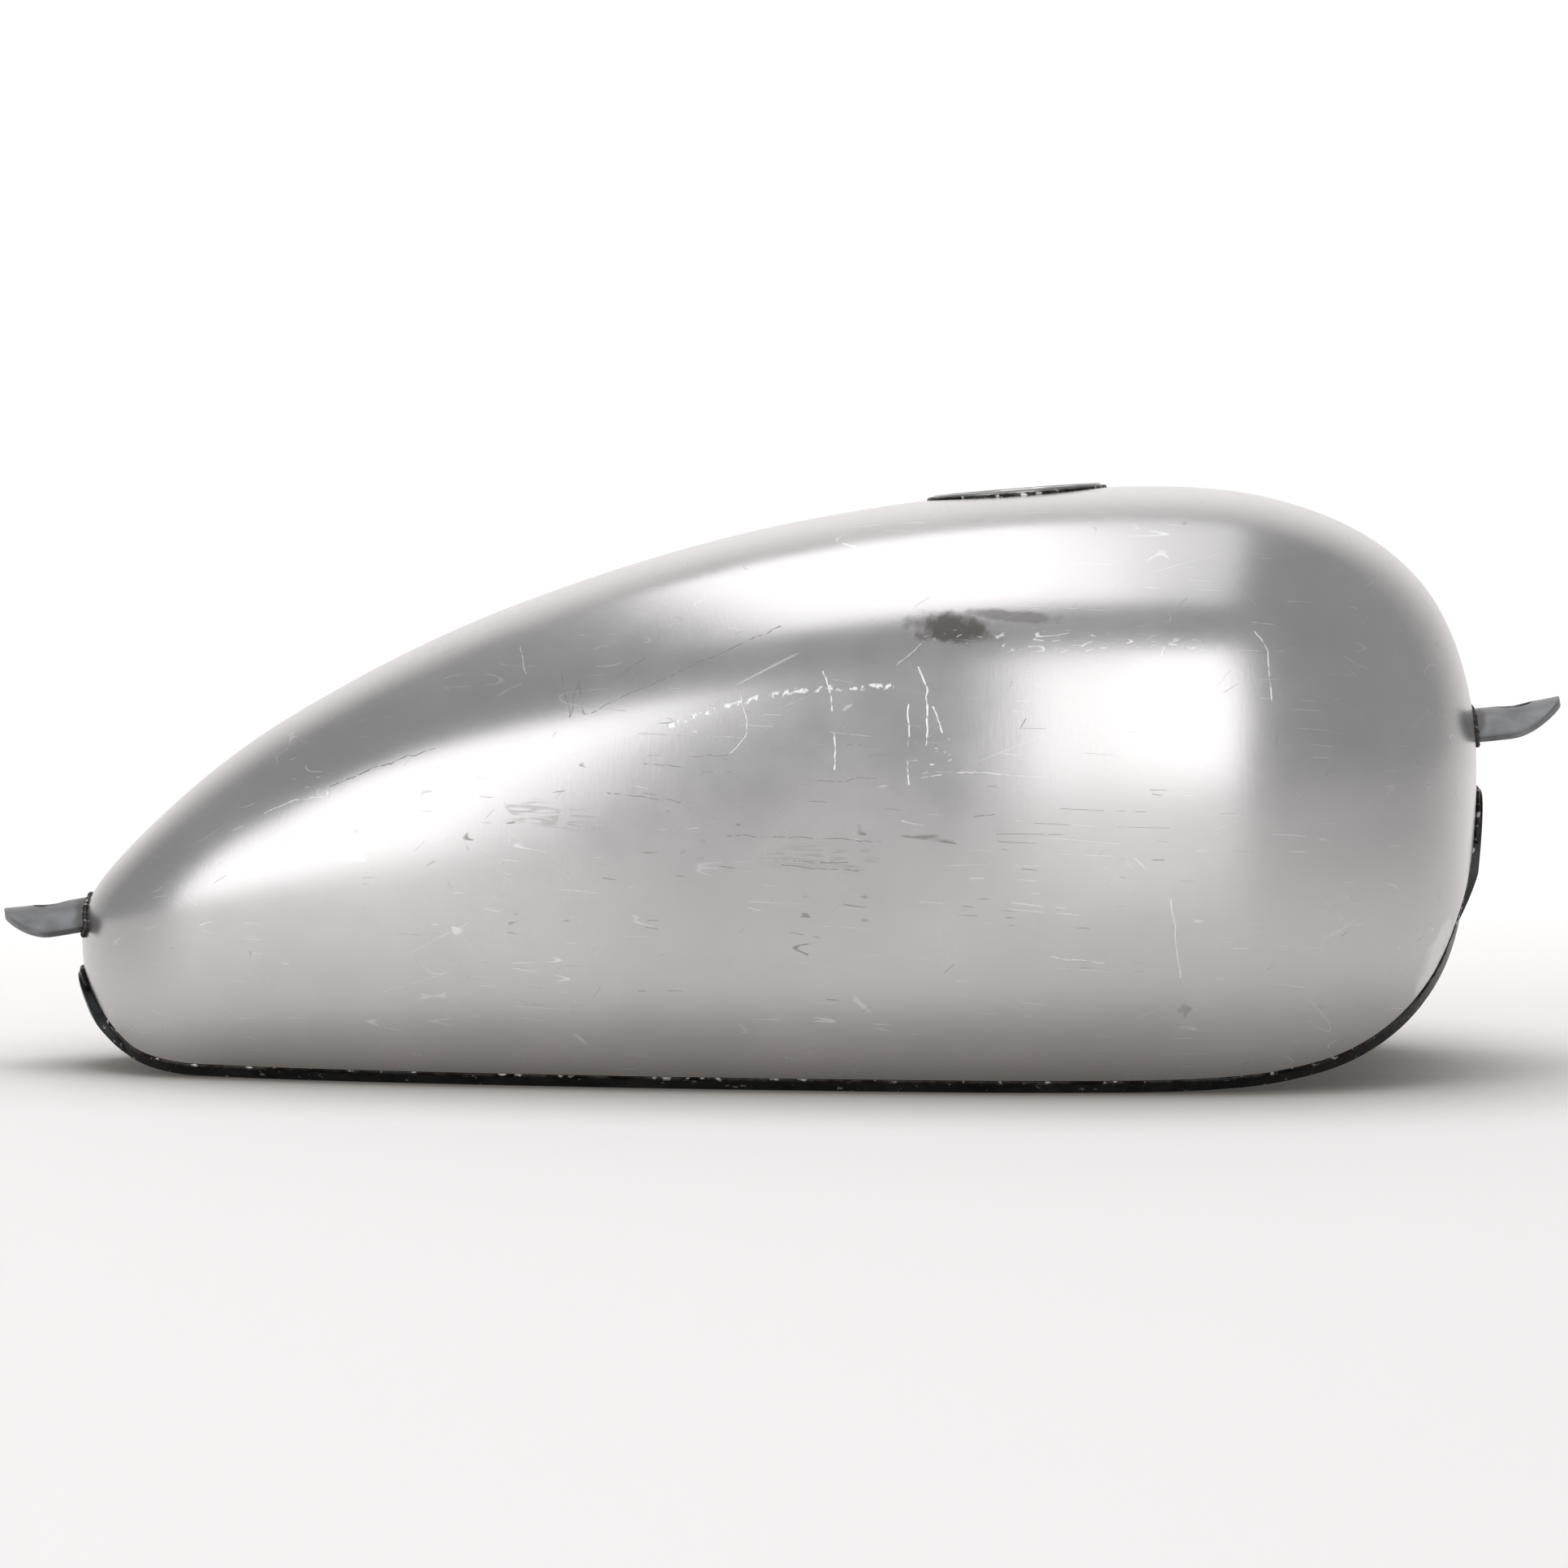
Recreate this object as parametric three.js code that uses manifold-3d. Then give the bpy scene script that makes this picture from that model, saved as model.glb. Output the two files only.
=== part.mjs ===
// Bare steel fuel tank for a custom motorcycle. Two pressed half shells meet in a welded crest
// seam and close on a stamped pan. The pan carries the frame tunnel and a lip that shows below
// the shells. Millimetres, +X to the front of the motorcycle, +Y to its left, +Z up.
import * as THREE from 'three';
import { mergeVertices } from 'three/addons/utils/BufferGeometryUtils.js';
import Module from 'manifold-3d';

const wasm = await Module();
wasm.setup();

// Body: lengthwise stations run from the tail pole (0) to the nose pole (1) in eighths.
const BODY_LENGTH = 483;
const BODY_MIDDLE_X = -1.5;
const CREST_Z = [46, 77.5, 120, 159.2, 187.2, 199.6, 196.8, 166.3, 103];
const BELT_Z = [46, 51, 57, 65, 74.5, 84, 92, 99, 103];
const KEEL_Z = [46, -6, -13, -15.5, -19, -22, -20, 10, 103];
const HALF_WIDTH = [0, 42, 67, 90, 108, 118.5, 114, 78, 0];
const SHOULDER_POWER = 2.8;
const TUCK_POWER = 3.5;
const END_POWER = 2.1;
const STATIONS = 24;
const AROUND = 32;

// Sheet thicknesses and the clearance left between neighbouring pieces.
const SKIN = 1.5;
const PAN = 1.8;
const GAP = 0.3;
const FINENESS = 0.05;

// Side profile of the shells' lower edge, tail to nose.
const EDGE = [
  [-246, 32], [-239.5, 29.5], [-235.5, 24], [-229.5, 16.5], [-221, 9.4], [-208, 5.6], [-190, 4.8],
  [-165, 4.6], [-150, 4.6], [80, 4.6], [95, 4.6], [120, 4.8], [142, 5.5], [165, 7.6], [187, 12.9],
  [205, 23.2], [219, 38], [229, 56.5], [233, 66], [236, 76], [238.5, 84], [244, 90],
];
const EDGE_FLAT_Z = 4.6;
const LIP = EDGE_FLAT_Z;
const FLOOR_RISE = 1.2;

// Frame tunnel: an inverted U, higher at the front.
const TUNNEL_HALF = 29.5;
const TUNNEL_TOP_REAR = 33;
const TUNNEL_TOP_FRONT = 95.5;
const TUNNEL_SPAN = 478;
const MOUTH_STAND = 2.4;
const MOUTH_BEAD = 1.3;

// Crest seam and edge welds.
const SEAM_HALF = 2;
const EDGE_BEAD = 2;

// Filler: centre of the ring's top face, and how far its plane rises to the front.
const FILLER = { x: 81.3, z: 199.95, rise: THREE.MathUtils.degToRad(4.5) };
const BUNG_R = 29;
const BUNG_DEPTH = 16;
const SEAT_R = 25.6;
const SEAT_Z = -8.5;
const THREAD_R = 21.5;
const CAP_R = 25.2;
const CAP_TOP = -0.3;
const CAP_HEAD = 6;
const STUB_R = 21;
const GRIP_BAR = 10;
const GRIP_DEPTH = 4;
const O_RING_R = 23.2;
const O_RING_WIRE = 0.8;
const VENT_R = 5;

// Mounting tabs: arched tongues with one bolt hole each.
const TAB_HALF = 19;
const TAB_ARCH_R = 24.7;
const TAB_PLATE = 3;
const TAB_CORNER = 18;
const TAB_HOLE_R = 6.35;
const TAB_HOLE_IN = 16;
const TAB_BEAD = 2.6;
const TAB_FACETS = 11;
const FRONT_TAB = { side: 1, root: 239.7, tip: 270, z: 123.8, slope: 0.077, curl: 0.00236 };
const REAR_TAB = { side: -1, root: 241.5, tip: 270, z: 58.3, slope: -0.187, curl: 0.0018 };

// Threaded bungs through the pan floor: centre, outer radius, bore radius.
const PETCOCK = { x: -120, y: 50, r: 14, bore: 8 };
const CROSSOVER = { x: 95, y: 60, r: 10.5, bore: 5.9 };
const BUNG_FOOT = 2;
const BUNG_HEAD = 14;
const BUNG_BEAD = 2.6;

// A closed solid from any closed three.js geometry, turned right side out.
function solid(geometry) {
  const bare = geometry.clone();
  bare.deleteAttribute('normal');
  bare.deleteAttribute('uv');
  const merged = mergeVertices(bare, 1e-4);
  const corners = Uint32Array.from(merged.index.array);
  const make = () => new wasm.Manifold(new wasm.Mesh({
    numProp: 3,
    vertProperties: Float32Array.from(merged.attributes.position.array),
    triVerts: corners,
  }));
  const first = make();
  if (first.volume() > 0) {
    return first;
  }
  for (let i = 0; i < corners.length; i += 3) {
    [corners[i], corners[i + 1]] = [corners[i + 1], corners[i]];
  }
  return make();
}

// Mesh of a solid, with the flat areas that the cuts divided joined up again.
function geometryOf(body) {
  const mesh = body.simplify(FINENESS).getMesh();
  const geometry = new THREE.BufferGeometry();
  geometry.setAttribute('position', new THREE.BufferAttribute(mesh.vertProperties, 3));
  geometry.setIndex(new THREE.BufferAttribute(mesh.triVerts, 1));
  geometry.computeVertexNormals();
  return geometry;
}

function box(x0, x1, y0, y1, z0, z1) {
  const geometry = new THREE.BoxGeometry(x1 - x0, y1 - y0, z1 - z0);
  geometry.translate((x0 + x1) / 2, (y0 + y1) / 2, (z0 + z1) / 2);
  return solid(geometry);
}

// Upright cylinder between two heights.
function post(x, y, r, z0, z1, steps = 24) {
  const geometry = new THREE.CylinderGeometry(r, r, z1 - z0, steps);
  geometry.rotateX(Math.PI / 2);
  geometry.translate(x, y, (z0 + z1) / 2);
  return solid(geometry);
}

// Ring turned about an upright axis; the profile is [radius, height] and closes on itself.
function turned(profile, x, y, steps = 24) {
  const points = [...profile, profile[0]].map(([r, z]) => new THREE.Vector2(r, z));
  const geometry = new THREE.LatheGeometry(points, steps);
  geometry.rotateX(Math.PI / 2);
  geometry.translate(x, y, 0);
  return solid(geometry);
}

// Smooth value through equally spaced knots, carried straight on past both ends.
function through(knots, u) {
  const last = knots.length - 1;
  const at = (i) => {
    if (i < 0) return 2 * knots[0] - knots[1];
    if (i > last) return 2 * knots[last] - knots[last - 1];
    return knots[i];
  };
  const i = Math.min(Math.floor(u * last), last - 1);
  const t = u * last - i;
  const m0 = (at(i + 1) - at(i - 1)) / 2;
  const m1 = (at(i + 2) - at(i)) / 2;
  const a = 2 * t ** 3 - 3 * t ** 2;
  return at(i) * (1 + a) - at(i + 1) * a + m0 * (t ** 3 - 2 * t ** 2 + t) + m1 * (t ** 3 - t ** 2);
}

// Skin point at a station u and a section angle given by its cosine and sine.
function skinPoint(u, c, s) {
  const fullness = Math.sin(Math.PI * u) ** 0.6;
  const power = END_POWER + ((s > 0 ? SHOULDER_POWER : TUCK_POWER) - END_POWER) * fullness;
  const round = (v) => Math.sign(v) * Math.abs(v) ** (2 / power);
  const belt = through(BELT_Z, u);
  const reach = s > 0 ? through(CREST_Z, u) - belt : belt - through(KEEL_Z, u);
  const x = BODY_MIDDLE_X - (BODY_LENGTH / 2) * Math.cos(Math.PI * u);
  return [x, through(HALF_WIDTH, u) * round(c), belt + reach * round(s)];
}

// Closed body solid, its surface moved outwards by the given distance (inwards if negative).
function bodySolid(outwards) {
  const sphere = new THREE.SphereGeometry(1, AROUND, STATIONS);
  const position = sphere.attributes.position;
  for (let i = 0; i < position.count; i += 1) {
    const [x, y, z] = [position.getX(i), position.getY(i), position.getZ(i)];
    const r = Math.hypot(x, z);
    const [c, s] = r < 1e-6 ? [1, 0] : [x / r, z / r];
    const u = Math.acos(THREE.MathUtils.clamp(y, -1, 1)) / Math.PI;
    position.setXYZ(i, ...skinPoint(u, c, s));
  }
  sphere.deleteAttribute('normal');
  sphere.deleteAttribute('uv');
  const skin = mergeVertices(sphere, 1e-3);
  skin.computeVertexNormals();
  const { position: place, normal } = skin.attributes;
  for (let i = 0; i < place.count; i += 1) {
    place.setXYZ(
      i,
      place.getX(i) + normal.getX(i) * outwards,
      place.getY(i) + normal.getY(i) * outwards,
      place.getZ(i) + normal.getZ(i) * outwards,
    );
  }
  return solid(skin);
}

// Everything above the shells' lower edge, with that edge moved outwards by the given distance.
function aboveEdge(outwards) {
  const knots = EDGE.map(([x, z]) => new THREE.Vector3(x, z, 0));
  const curve = new THREE.CatmullRomCurve3(knots, false, 'centripetal');
  const count = (EDGE.length - 1) * 2;
  const shape = new THREE.Shape();
  shape.moveTo(-300, 400);
  for (let i = 0; i <= count; i += 1) {
    const p = curve.getPoint(i / count);
    const d = curve.getTangent(i / count);
    if (i === 0) shape.lineTo(-300, p.y - d.x * outwards);
    shape.lineTo(p.x + d.y * outwards, p.y - d.x * outwards);
    if (i === count) shape.lineTo(300, p.y - d.x * outwards);
  }
  shape.lineTo(300, 400);
  const geometry = new THREE.ExtrudeGeometry(shape, { depth: 400, bevelEnabled: false });
  geometry.rotateX(Math.PI / 2);
  geometry.translate(0, 200, 0);
  return solid(geometry);
}

// The tunnel's outline run through the whole tank, its walls moved outwards.
function tunnelSolid(outwards) {
  const r = TUNNEL_HALF + outwards;
  const shape = new THREE.Shape();
  shape.moveTo(-r, -200);
  shape.lineTo(r, -200);
  shape.lineTo(r, -TUNNEL_HALF);
  shape.absarc(0, -TUNNEL_HALF, r, 0, Math.PI, false);
  shape.lineTo(-r, -200);
  const geometry = new THREE.ExtrudeGeometry(shape, {
    depth: 640,
    bevelEnabled: false,
    curveSegments: 12,
  });
  geometry.rotateX(Math.PI / 2);
  geometry.rotateZ(Math.PI / 2);
  geometry.translate(-320, 0, 0);
  geometry.rotateY(-Math.atan2(TUNNEL_TOP_FRONT - TUNNEL_TOP_REAR, TUNNEL_SPAN));
  geometry.translate(0, 0, (TUNNEL_TOP_FRONT + TUNNEL_TOP_REAR) / 2);
  return solid(geometry);
}

// Lifts a solid built about the filler's own axis into place on the crest.
function atFiller(body) {
  const turn = new THREE.Matrix4().makeRotationY(-FILLER.rise);
  turn.setPosition(FILLER.x, 0, FILLER.z);
  return body.transform(turn.elements);
}

const outer = bodySolid(0);
const inner = bodySolid(-SKIN);
const overSkin = bodySolid(GAP);
const aboveShellEdge = aboveEdge(0);
const shellTunnel = tunnelSolid(GAP);
const fillerHole = atFiller(post(0, 0, BUNG_R + GAP, -40, 40, 40));

function skinSheet(lift) {
  return outer.subtract(bodySolid(-SKIN - lift)).intersect(aboveShellEdge)
    .subtract(shellTunnel).subtract(fillerHole);
}

// One pressed half of the skin: side -1 is the motorcycle's right, 1 its left.
function halfShell(side) {
  const from = SEAM_HALF + GAP;
  const half = side > 0
    ? box(-300, 300, from, 200, -60, 260)
    : box(-300, 300, -200, -from, -60, 260);
  return outer.subtract(inner).intersect(aboveShellEdge).subtract(shellTunnel)
    .subtract(fillerHole).intersect(half);
}

// Ground weld strip between the halves, ahead of the filler or behind it.
function crestWeld(ahead) {
  const [x0, x1] = ahead ? [FILLER.x, 300] : [-300, FILLER.x];
  return skinSheet(0.4).intersect(box(x0, x1, -SEAM_HALF, SEAM_HALF, -60, 260));
}

function bungHoles(clear) {
  return [
    post(PETCOCK.x, PETCOCK.y, PETCOCK.r + clear, -20, 40),
    post(CROSSOVER.x, CROSSOVER.y, CROSSOVER.r + clear, -20, 40),
    post(CROSSOVER.x, -CROSSOVER.y, CROSSOVER.r + clear, -20, 40),
  ];
}

// Stamped pan: floor, frame tunnel and the lip turned down inside the shells' edge.
function tunnelPan() {
  const outline = bodySolid(-SKIN - GAP);
  const insideLip = bodySolid(-SKIN - GAP - PAN);
  const aboveLip = aboveEdge(LIP);
  const aboveFloor = aboveEdge(-FLOOR_RISE);
  const fuelSpace = aboveEdge(-FLOOR_RISE - PAN).subtract(tunnelSolid(0));
  const bore = tunnelSolid(-PAN);
  const mouths = tunnelSolid(0).intersect(bodySolid(MOUTH_STAND)).intersect(aboveLip)
    .subtract(insideLip);
  let pan = outline.intersect(aboveLip).subtract(fuelSpace)
    .subtract(insideLip.subtract(aboveFloor)).add(mouths).subtract(bore);
  for (const hole of bungHoles(GAP)) {
    pan = pan.subtract(hole);
  }
  return pan;
}

// Weld bead under the shell's edge, along one side.
function edgeWeld(side) {
  const band = aboveEdge(GAP + EDGE_BEAD).subtract(aboveEdge(GAP));
  const half = side > 0 ? box(-300, 300, 5, 200, -60, 260) : box(-300, 300, -200, -5, -60, 260);
  return bodySolid(-0.2).subtract(inner).intersect(band).subtract(shellTunnel).intersect(half);
}

// Weld bead round the top of a tunnel mouth, on the outside of the skin.
function mouthWeld(front) {
  const ring = tunnelSolid(GAP + MOUTH_BEAD).subtract(shellTunnel);
  const zone = front ? box(0, 300, -60, 60, 82, 200) : box(-300, 0, -60, 60, 28, 100);
  return ring.intersect(bodySolid(GAP + MOUTH_BEAD).subtract(overSkin)).intersect(zone);
}

// Arched plate run along a tab's crest line, grown all round by the given distance.
function tabArch(tab, grow) {
  const [r0, r1] = [TAB_ARCH_R - TAB_PLATE - grow, TAB_ARCH_R + grow];
  const half = Math.asin(TAB_HALF / TAB_ARCH_R) + grow / TAB_ARCH_R;
  const arc = (r, turn) => Array.from({ length: TAB_FACETS + 1 }, (_, i) => {
    const a = turn * half * (1 - (2 * i) / TAB_FACETS);
    return new THREE.Vector2(r * Math.sin(a), r * Math.cos(a) - TAB_ARCH_R);
  });
  const shape = new THREE.Shape([...arc(r1, 1), ...arc(r0, -1)]);
  const points = [];
  for (let s = -30; s <= tab.tip - tab.root + 6; s += 7) {
    const rise = tab.slope * s + tab.curl * Math.max(s, 0) ** 2;
    points.push(new THREE.Vector3(tab.side * (tab.root + s), 0, tab.z + rise));
  }
  const bodies = points.slice(1).map((p, i) => {
    const run = Math.hypot(p.x - points[i].x, p.z - points[i].z);
    const geometry = new THREE.ExtrudeGeometry(shape, { depth: run, bevelEnabled: false });
    const place = new THREE.Matrix4().makeBasis(
      new THREE.Vector3(0, tab.side, 0),
      new THREE.Vector3(0, 0, 1),
      new THREE.Vector3().subVectors(p, points[i]).divideScalar(run),
    );
    place.setPosition(points[i]);
    geometry.applyMatrix4(place);
    return solid(geometry);
  });
  return bodies.reduce((all, one) => all.add(one));
}

// Tongue outline seen from above, with the bolt hole.
function tabOutline(tab) {
  const [start, end, c] = [tab.root - 30, tab.tip, TAB_CORNER];
  const shape = new THREE.Shape();
  shape.moveTo(start, -TAB_HALF);
  shape.lineTo(end - c, -TAB_HALF);
  shape.absarc(end - c, -TAB_HALF + c, c, -Math.PI / 2, 0, false);
  shape.absarc(end - c, TAB_HALF - c, c, 0, Math.PI / 2, false);
  shape.lineTo(start, TAB_HALF);
  const hole = new THREE.Path();
  hole.absarc(end - TAB_HOLE_IN, 0, TAB_HOLE_R, 0, 2 * Math.PI, true);
  shape.holes.push(hole);
  const geometry = new THREE.ExtrudeGeometry(shape, {
    depth: 80,
    bevelEnabled: false,
    curveSegments: 6,
  });
  geometry.translate(0, 0, tab.z - 50);
  if (tab.side < 0) {
    geometry.rotateZ(Math.PI);
  }
  return solid(geometry);
}

function mountingTab(tab) {
  return tabArch(tab, 0).intersect(tabOutline(tab)).subtract(overSkin);
}

// Weld bead all round a tab's root.
function tabWeld(tab) {
  return tabArch(tab, GAP + TAB_BEAD).subtract(tabArch(tab, GAP))
    .intersect(bodySolid(GAP + TAB_BEAD).subtract(overSkin));
}

// Filler bung: a turned ring with a seat for the cap and a threaded bore below it.
function fillerBung() {
  return atFiller(turned([
    [BUNG_R, -BUNG_DEPTH],
    [BUNG_R, -0.6],
    [BUNG_R - 0.6, 0],
    [SEAT_R + 0.5, 0],
    [SEAT_R, -0.5],
    [SEAT_R, SEAT_Z],
    [THREAD_R, SEAT_Z],
    [THREAD_R, -BUNG_DEPTH],
  ], 0, 0, 40));
}

function fillerWeld() {
  const r = BUNG_R + GAP;
  const fillet = [[r, -6], [r, -0.6], [r + 1.2, -0.7], [r + 3.2, -1.9], [r + 3.2, -6]];
  const ring = turned(fillet, 0, 0, 40);
  return atFiller(ring).subtract(overSkin);
}

// Flush screw cap: head with two finger pockets and a grip bar, hollow stub and vent boss.
function fillerCap() {
  const under = CAP_TOP - CAP_HEAD;
  const grip = post(0, 0, STUB_R, CAP_TOP - GRIP_DEPTH, 5, 32)
    .subtract(box(-GRIP_BAR / 2, GRIP_BAR / 2, -40, 40, -20, 20));
  const head = post(0, 0, CAP_R, under, CAP_TOP, 40).subtract(grip);
  const stub = post(0, 0, STUB_R, -15.2, under + 0.5, 32)
    .subtract(post(0, 0, STUB_R - 5, -20, under - 1.5, 32));
  const boss = post(0, 0, 8, -12, under + 0.5).subtract(post(0, 0, VENT_R + GAP, -20, -8.2, 24));
  return atFiller(head.add(stub).add(boss));
}

function capORing() {
  const wire = new THREE.TorusGeometry(O_RING_R, O_RING_WIRE, 6, 32);
  wire.translate(0, 0, (CAP_TOP - CAP_HEAD + SEAT_Z) / 2);
  return atFiller(solid(wire));
}

function capVent() {
  return atFiller(post(0, 0, VENT_R, -12.8, -8.5, 24));
}

// Threaded bung standing through the pan floor.
function floorBung({ x, y, r, bore }) {
  return turned([[r, BUNG_FOOT], [r, BUNG_HEAD], [bore, BUNG_HEAD], [bore, BUNG_FOOT]], x, y);
}

// Fillet weld round a floor bung, under the pan.
function floorBungWeld({ x, y, r }) {
  const top = EDGE_FLAT_Z + FLOOR_RISE - GAP;
  const from = r + GAP;
  const profile = [[from, top], [from, top - 2], [from + 0.8, top - 2], [from + BUNG_BEAD, top - 0.3]];
  return turned([...profile, [from + BUNG_BEAD, top]], x, y);
}

const STEEL = { color: 0xb9b8b4, roughness: 0.34, metalness: 1 };
const PAN_STEEL = { color: 0x4a4a48, roughness: 0.5, metalness: 0.9 };
const TAB_STEEL = { color: 0x6b6c6e, roughness: 0.45, metalness: 0.9 };
const WELD = { color: 0x5a544c, roughness: 0.55, metalness: 0.85 };
const MACHINED = { color: 0x9c9c9a, roughness: 0.3, metalness: 1 };
const ALUMINIUM = { color: 0xc9cbcd, roughness: 0.28, metalness: 1 };
const RUBBER = { color: 0x1b1b1c, roughness: 0.8, metalness: 0 };
const BRASS = { color: 0xb08d4c, roughness: 0.35, metalness: 1 };

const group = new THREE.Group();

function add(name, look, body) {
  const mesh = new THREE.Mesh(geometryOf(body), new THREE.MeshStandardMaterial(look));
  mesh.name = name;
  group.add(mesh);
}

add('right_shell', STEEL, halfShell(-1));
add('left_shell', STEEL, halfShell(1));
add('crest_weld_front', STEEL, crestWeld(true));
add('crest_weld_rear', STEEL, crestWeld(false));
add('tunnel_pan', PAN_STEEL, tunnelPan());
add('edge_weld_right', WELD, edgeWeld(-1));
add('edge_weld_left', WELD, edgeWeld(1));
add('mouth_weld_front', WELD, mouthWeld(true));
add('mouth_weld_rear', WELD, mouthWeld(false));
add('front_tab', TAB_STEEL, mountingTab(FRONT_TAB));
add('front_tab_weld', WELD, tabWeld(FRONT_TAB));
add('rear_tab', TAB_STEEL, mountingTab(REAR_TAB));
add('rear_tab_weld', WELD, tabWeld(REAR_TAB));
add('filler_bung', MACHINED, fillerBung());
add('filler_weld', WELD, fillerWeld());
add('filler_cap', ALUMINIUM, fillerCap());
add('cap_o_ring', RUBBER, capORing());
add('cap_vent_valve', BRASS, capVent());
add('petcock_bung', MACHINED, floorBung(PETCOCK));
add('petcock_bung_weld', WELD, floorBungWeld(PETCOCK));
for (const [side, y] of [['right', -CROSSOVER.y], ['left', CROSSOVER.y]]) {
  add(`crossover_bung_${side}`, MACHINED, floorBung({ ...CROSSOVER, y }));
  add(`crossover_weld_${side}`, WELD, floorBungWeld({ ...CROSSOVER, y }));
}

export default group;
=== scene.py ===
import math

import bpy
from mathutils import Matrix, Vector, noise


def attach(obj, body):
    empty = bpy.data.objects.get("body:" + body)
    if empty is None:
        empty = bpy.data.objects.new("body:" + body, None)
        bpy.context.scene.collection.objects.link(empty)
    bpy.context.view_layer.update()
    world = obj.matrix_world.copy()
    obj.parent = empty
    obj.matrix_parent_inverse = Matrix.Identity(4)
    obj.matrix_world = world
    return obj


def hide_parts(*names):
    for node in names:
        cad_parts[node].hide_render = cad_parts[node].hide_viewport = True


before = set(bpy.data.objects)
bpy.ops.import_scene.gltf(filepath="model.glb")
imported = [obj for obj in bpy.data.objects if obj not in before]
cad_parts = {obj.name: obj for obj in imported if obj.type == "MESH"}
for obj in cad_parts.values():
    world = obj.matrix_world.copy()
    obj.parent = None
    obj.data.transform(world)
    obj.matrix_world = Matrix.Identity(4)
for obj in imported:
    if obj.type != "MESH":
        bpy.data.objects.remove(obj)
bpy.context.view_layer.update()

MM = 0.001


# Studio: a pale floor swept up into a wall, soft boxes over the tank, on the wall and, with a gap
# between them, before its right side, and a camera square to that side, a little above it. All of
# it is stage, none of it belongs to the tank.
def deselect():
    if bpy.context.object and bpy.context.object.mode != "OBJECT":
        bpy.ops.object.mode_set(mode="OBJECT")
    bpy.ops.object.select_all(action="DESELECT")


def add_node(tree, kind, links=None, values=None, **settings):
    """Adds a node with its settings and input values, and joins its inputs to outputs."""
    node = tree.nodes.new(kind)
    for key, value in settings.items():
        setattr(node, key, value)
    for key, value in (values or {}).items():
        node.inputs[key].default_value = value
    for key, output in (links or {}).items():
        tree.links.new(output, node.inputs[key])
    return node


def srgb(code):
    """Linear RGBA of an sRGB hex colour."""
    parts = [int(code[i:i + 2], 16) / 255 for i in (0, 2, 4)]
    return (*[p / 12.92 if p <= 0.04045 else ((p + 0.055) / 1.055) ** 2.4 for p in parts], 1)


def new_material(name, colour, metallic, roughness):
    material = bpy.data.materials.new(name)
    material.use_nodes = True
    shader = material.node_tree.nodes["Principled BSDF"]
    shader.inputs["Base Color"].default_value = srgb(colour)
    shader.inputs["Metallic"].default_value = metallic
    shader.inputs["Roughness"].default_value = roughness
    return material, material.node_tree, shader


WALL_Y, SWEEP_R, WALL_TOP, SWEEP_STEPS = 3.6, 0.9, 4.2, 16
FLOOR_HALF, FLOOR_FRONT, FLOOR_DROP = 6.0, -4.5, 0.0002
deselect()
bpy.ops.mesh.primitive_plane_add(size=2, location=(0, 0, 0))
backdrop = bpy.context.object
backdrop.name = "backdrop"
bpy.ops.object.mode_set(mode="EDIT")
bpy.ops.transform.resize(value=(FLOOR_HALF, 1, 1))
bpy.ops.object.mode_set(mode="OBJECT")
for vertex in backdrop.data.vertices:
    vertex.co.y = WALL_Y - SWEEP_R if vertex.co.y > 0 else FLOOR_FRONT
    vertex.co.z = -FLOOR_DROP
    vertex.select = vertex.co.y > 0
for edge in backdrop.data.edges:
    edge.select = all(backdrop.data.vertices[i].co.y > 0 for i in edge.vertices)
for face in backdrop.data.polygons:
    face.select = False
bpy.ops.object.mode_set(mode="EDIT")
bpy.ops.mesh.select_mode(type="EDGE")
for k in range(SWEEP_STEPS):
    a0, a1 = k / SWEEP_STEPS * math.pi / 2, (k + 1) / SWEEP_STEPS * math.pi / 2
    step = (0, SWEEP_R * (math.sin(a1) - math.sin(a0)), SWEEP_R * (math.cos(a0) - math.cos(a1)))
    bpy.ops.mesh.extrude_region_move(TRANSFORM_OT_translate={"value": step})
bpy.ops.mesh.extrude_region_move(TRANSFORM_OT_translate={"value": (0, 0, WALL_TOP - SWEEP_R)})
bpy.ops.object.mode_set(mode="OBJECT")
bpy.ops.object.shade_smooth()

# Seamless paper: matt and almost white, with a painted contact shadow: darker and warmer close round the
# tank's foot.
paper, tree, shader = new_material("seamless_paper", "F4F3F1", 0.0, 0.9)
shader.inputs["Emission Color"].default_value = srgb("FFFDF8")
shader.inputs["Emission Strength"].default_value = 0.06
# Painted contact shadow: ambient occlusion turns the paper's colour towards a warm grey wherever the tank is
# close by.
contact_occlusion = add_node(tree, "ShaderNodeAmbientOcclusion", None, {"Distance": 0.11}, samples=8)
shade = add_node(
    tree, "ShaderNodeMapRange", {"Value": contact_occlusion.outputs["AO"]}, {"From Min": 0.35, "From Max": 0.95})
painted_contact_shadow = add_node(tree, "ShaderNodeMix", {0: shade.outputs["Result"]}, data_type="RGBA")
painted_contact_shadow.inputs["A"].default_value = srgb("948C82")
painted_contact_shadow.inputs["B"].default_value = srgb("F5F2F1")
tree.links.new(painted_contact_shadow.outputs["Result"], shader.inputs["Base Color"])
backdrop.data.materials.append(paper)

world = bpy.data.worlds.new("studio_room")
bpy.context.scene.world = world
world.use_nodes = True
world.node_tree.nodes["Background"].inputs["Color"].default_value = (0.44, 0.453, 0.462, 1)


TANK_MIDDLE = (0, 0, 0.1)


def soft_box(name, place, aim, width, height, radiance):
    light = bpy.data.lights.new(name, "AREA")
    light.shape = "RECTANGLE"
    light.size, light.size_y = width, height
    light.energy = radiance * math.pi * width * height
    lamp = bpy.data.objects.new(name, light)
    bpy.context.collection.objects.link(lamp)
    lamp.location = place
    lamp.visible_camera = False
    lamp.rotation_euler = (Vector(aim) - Vector(place)).to_track_quat("-Z", "Y").to_euler()
    return lamp


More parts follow.
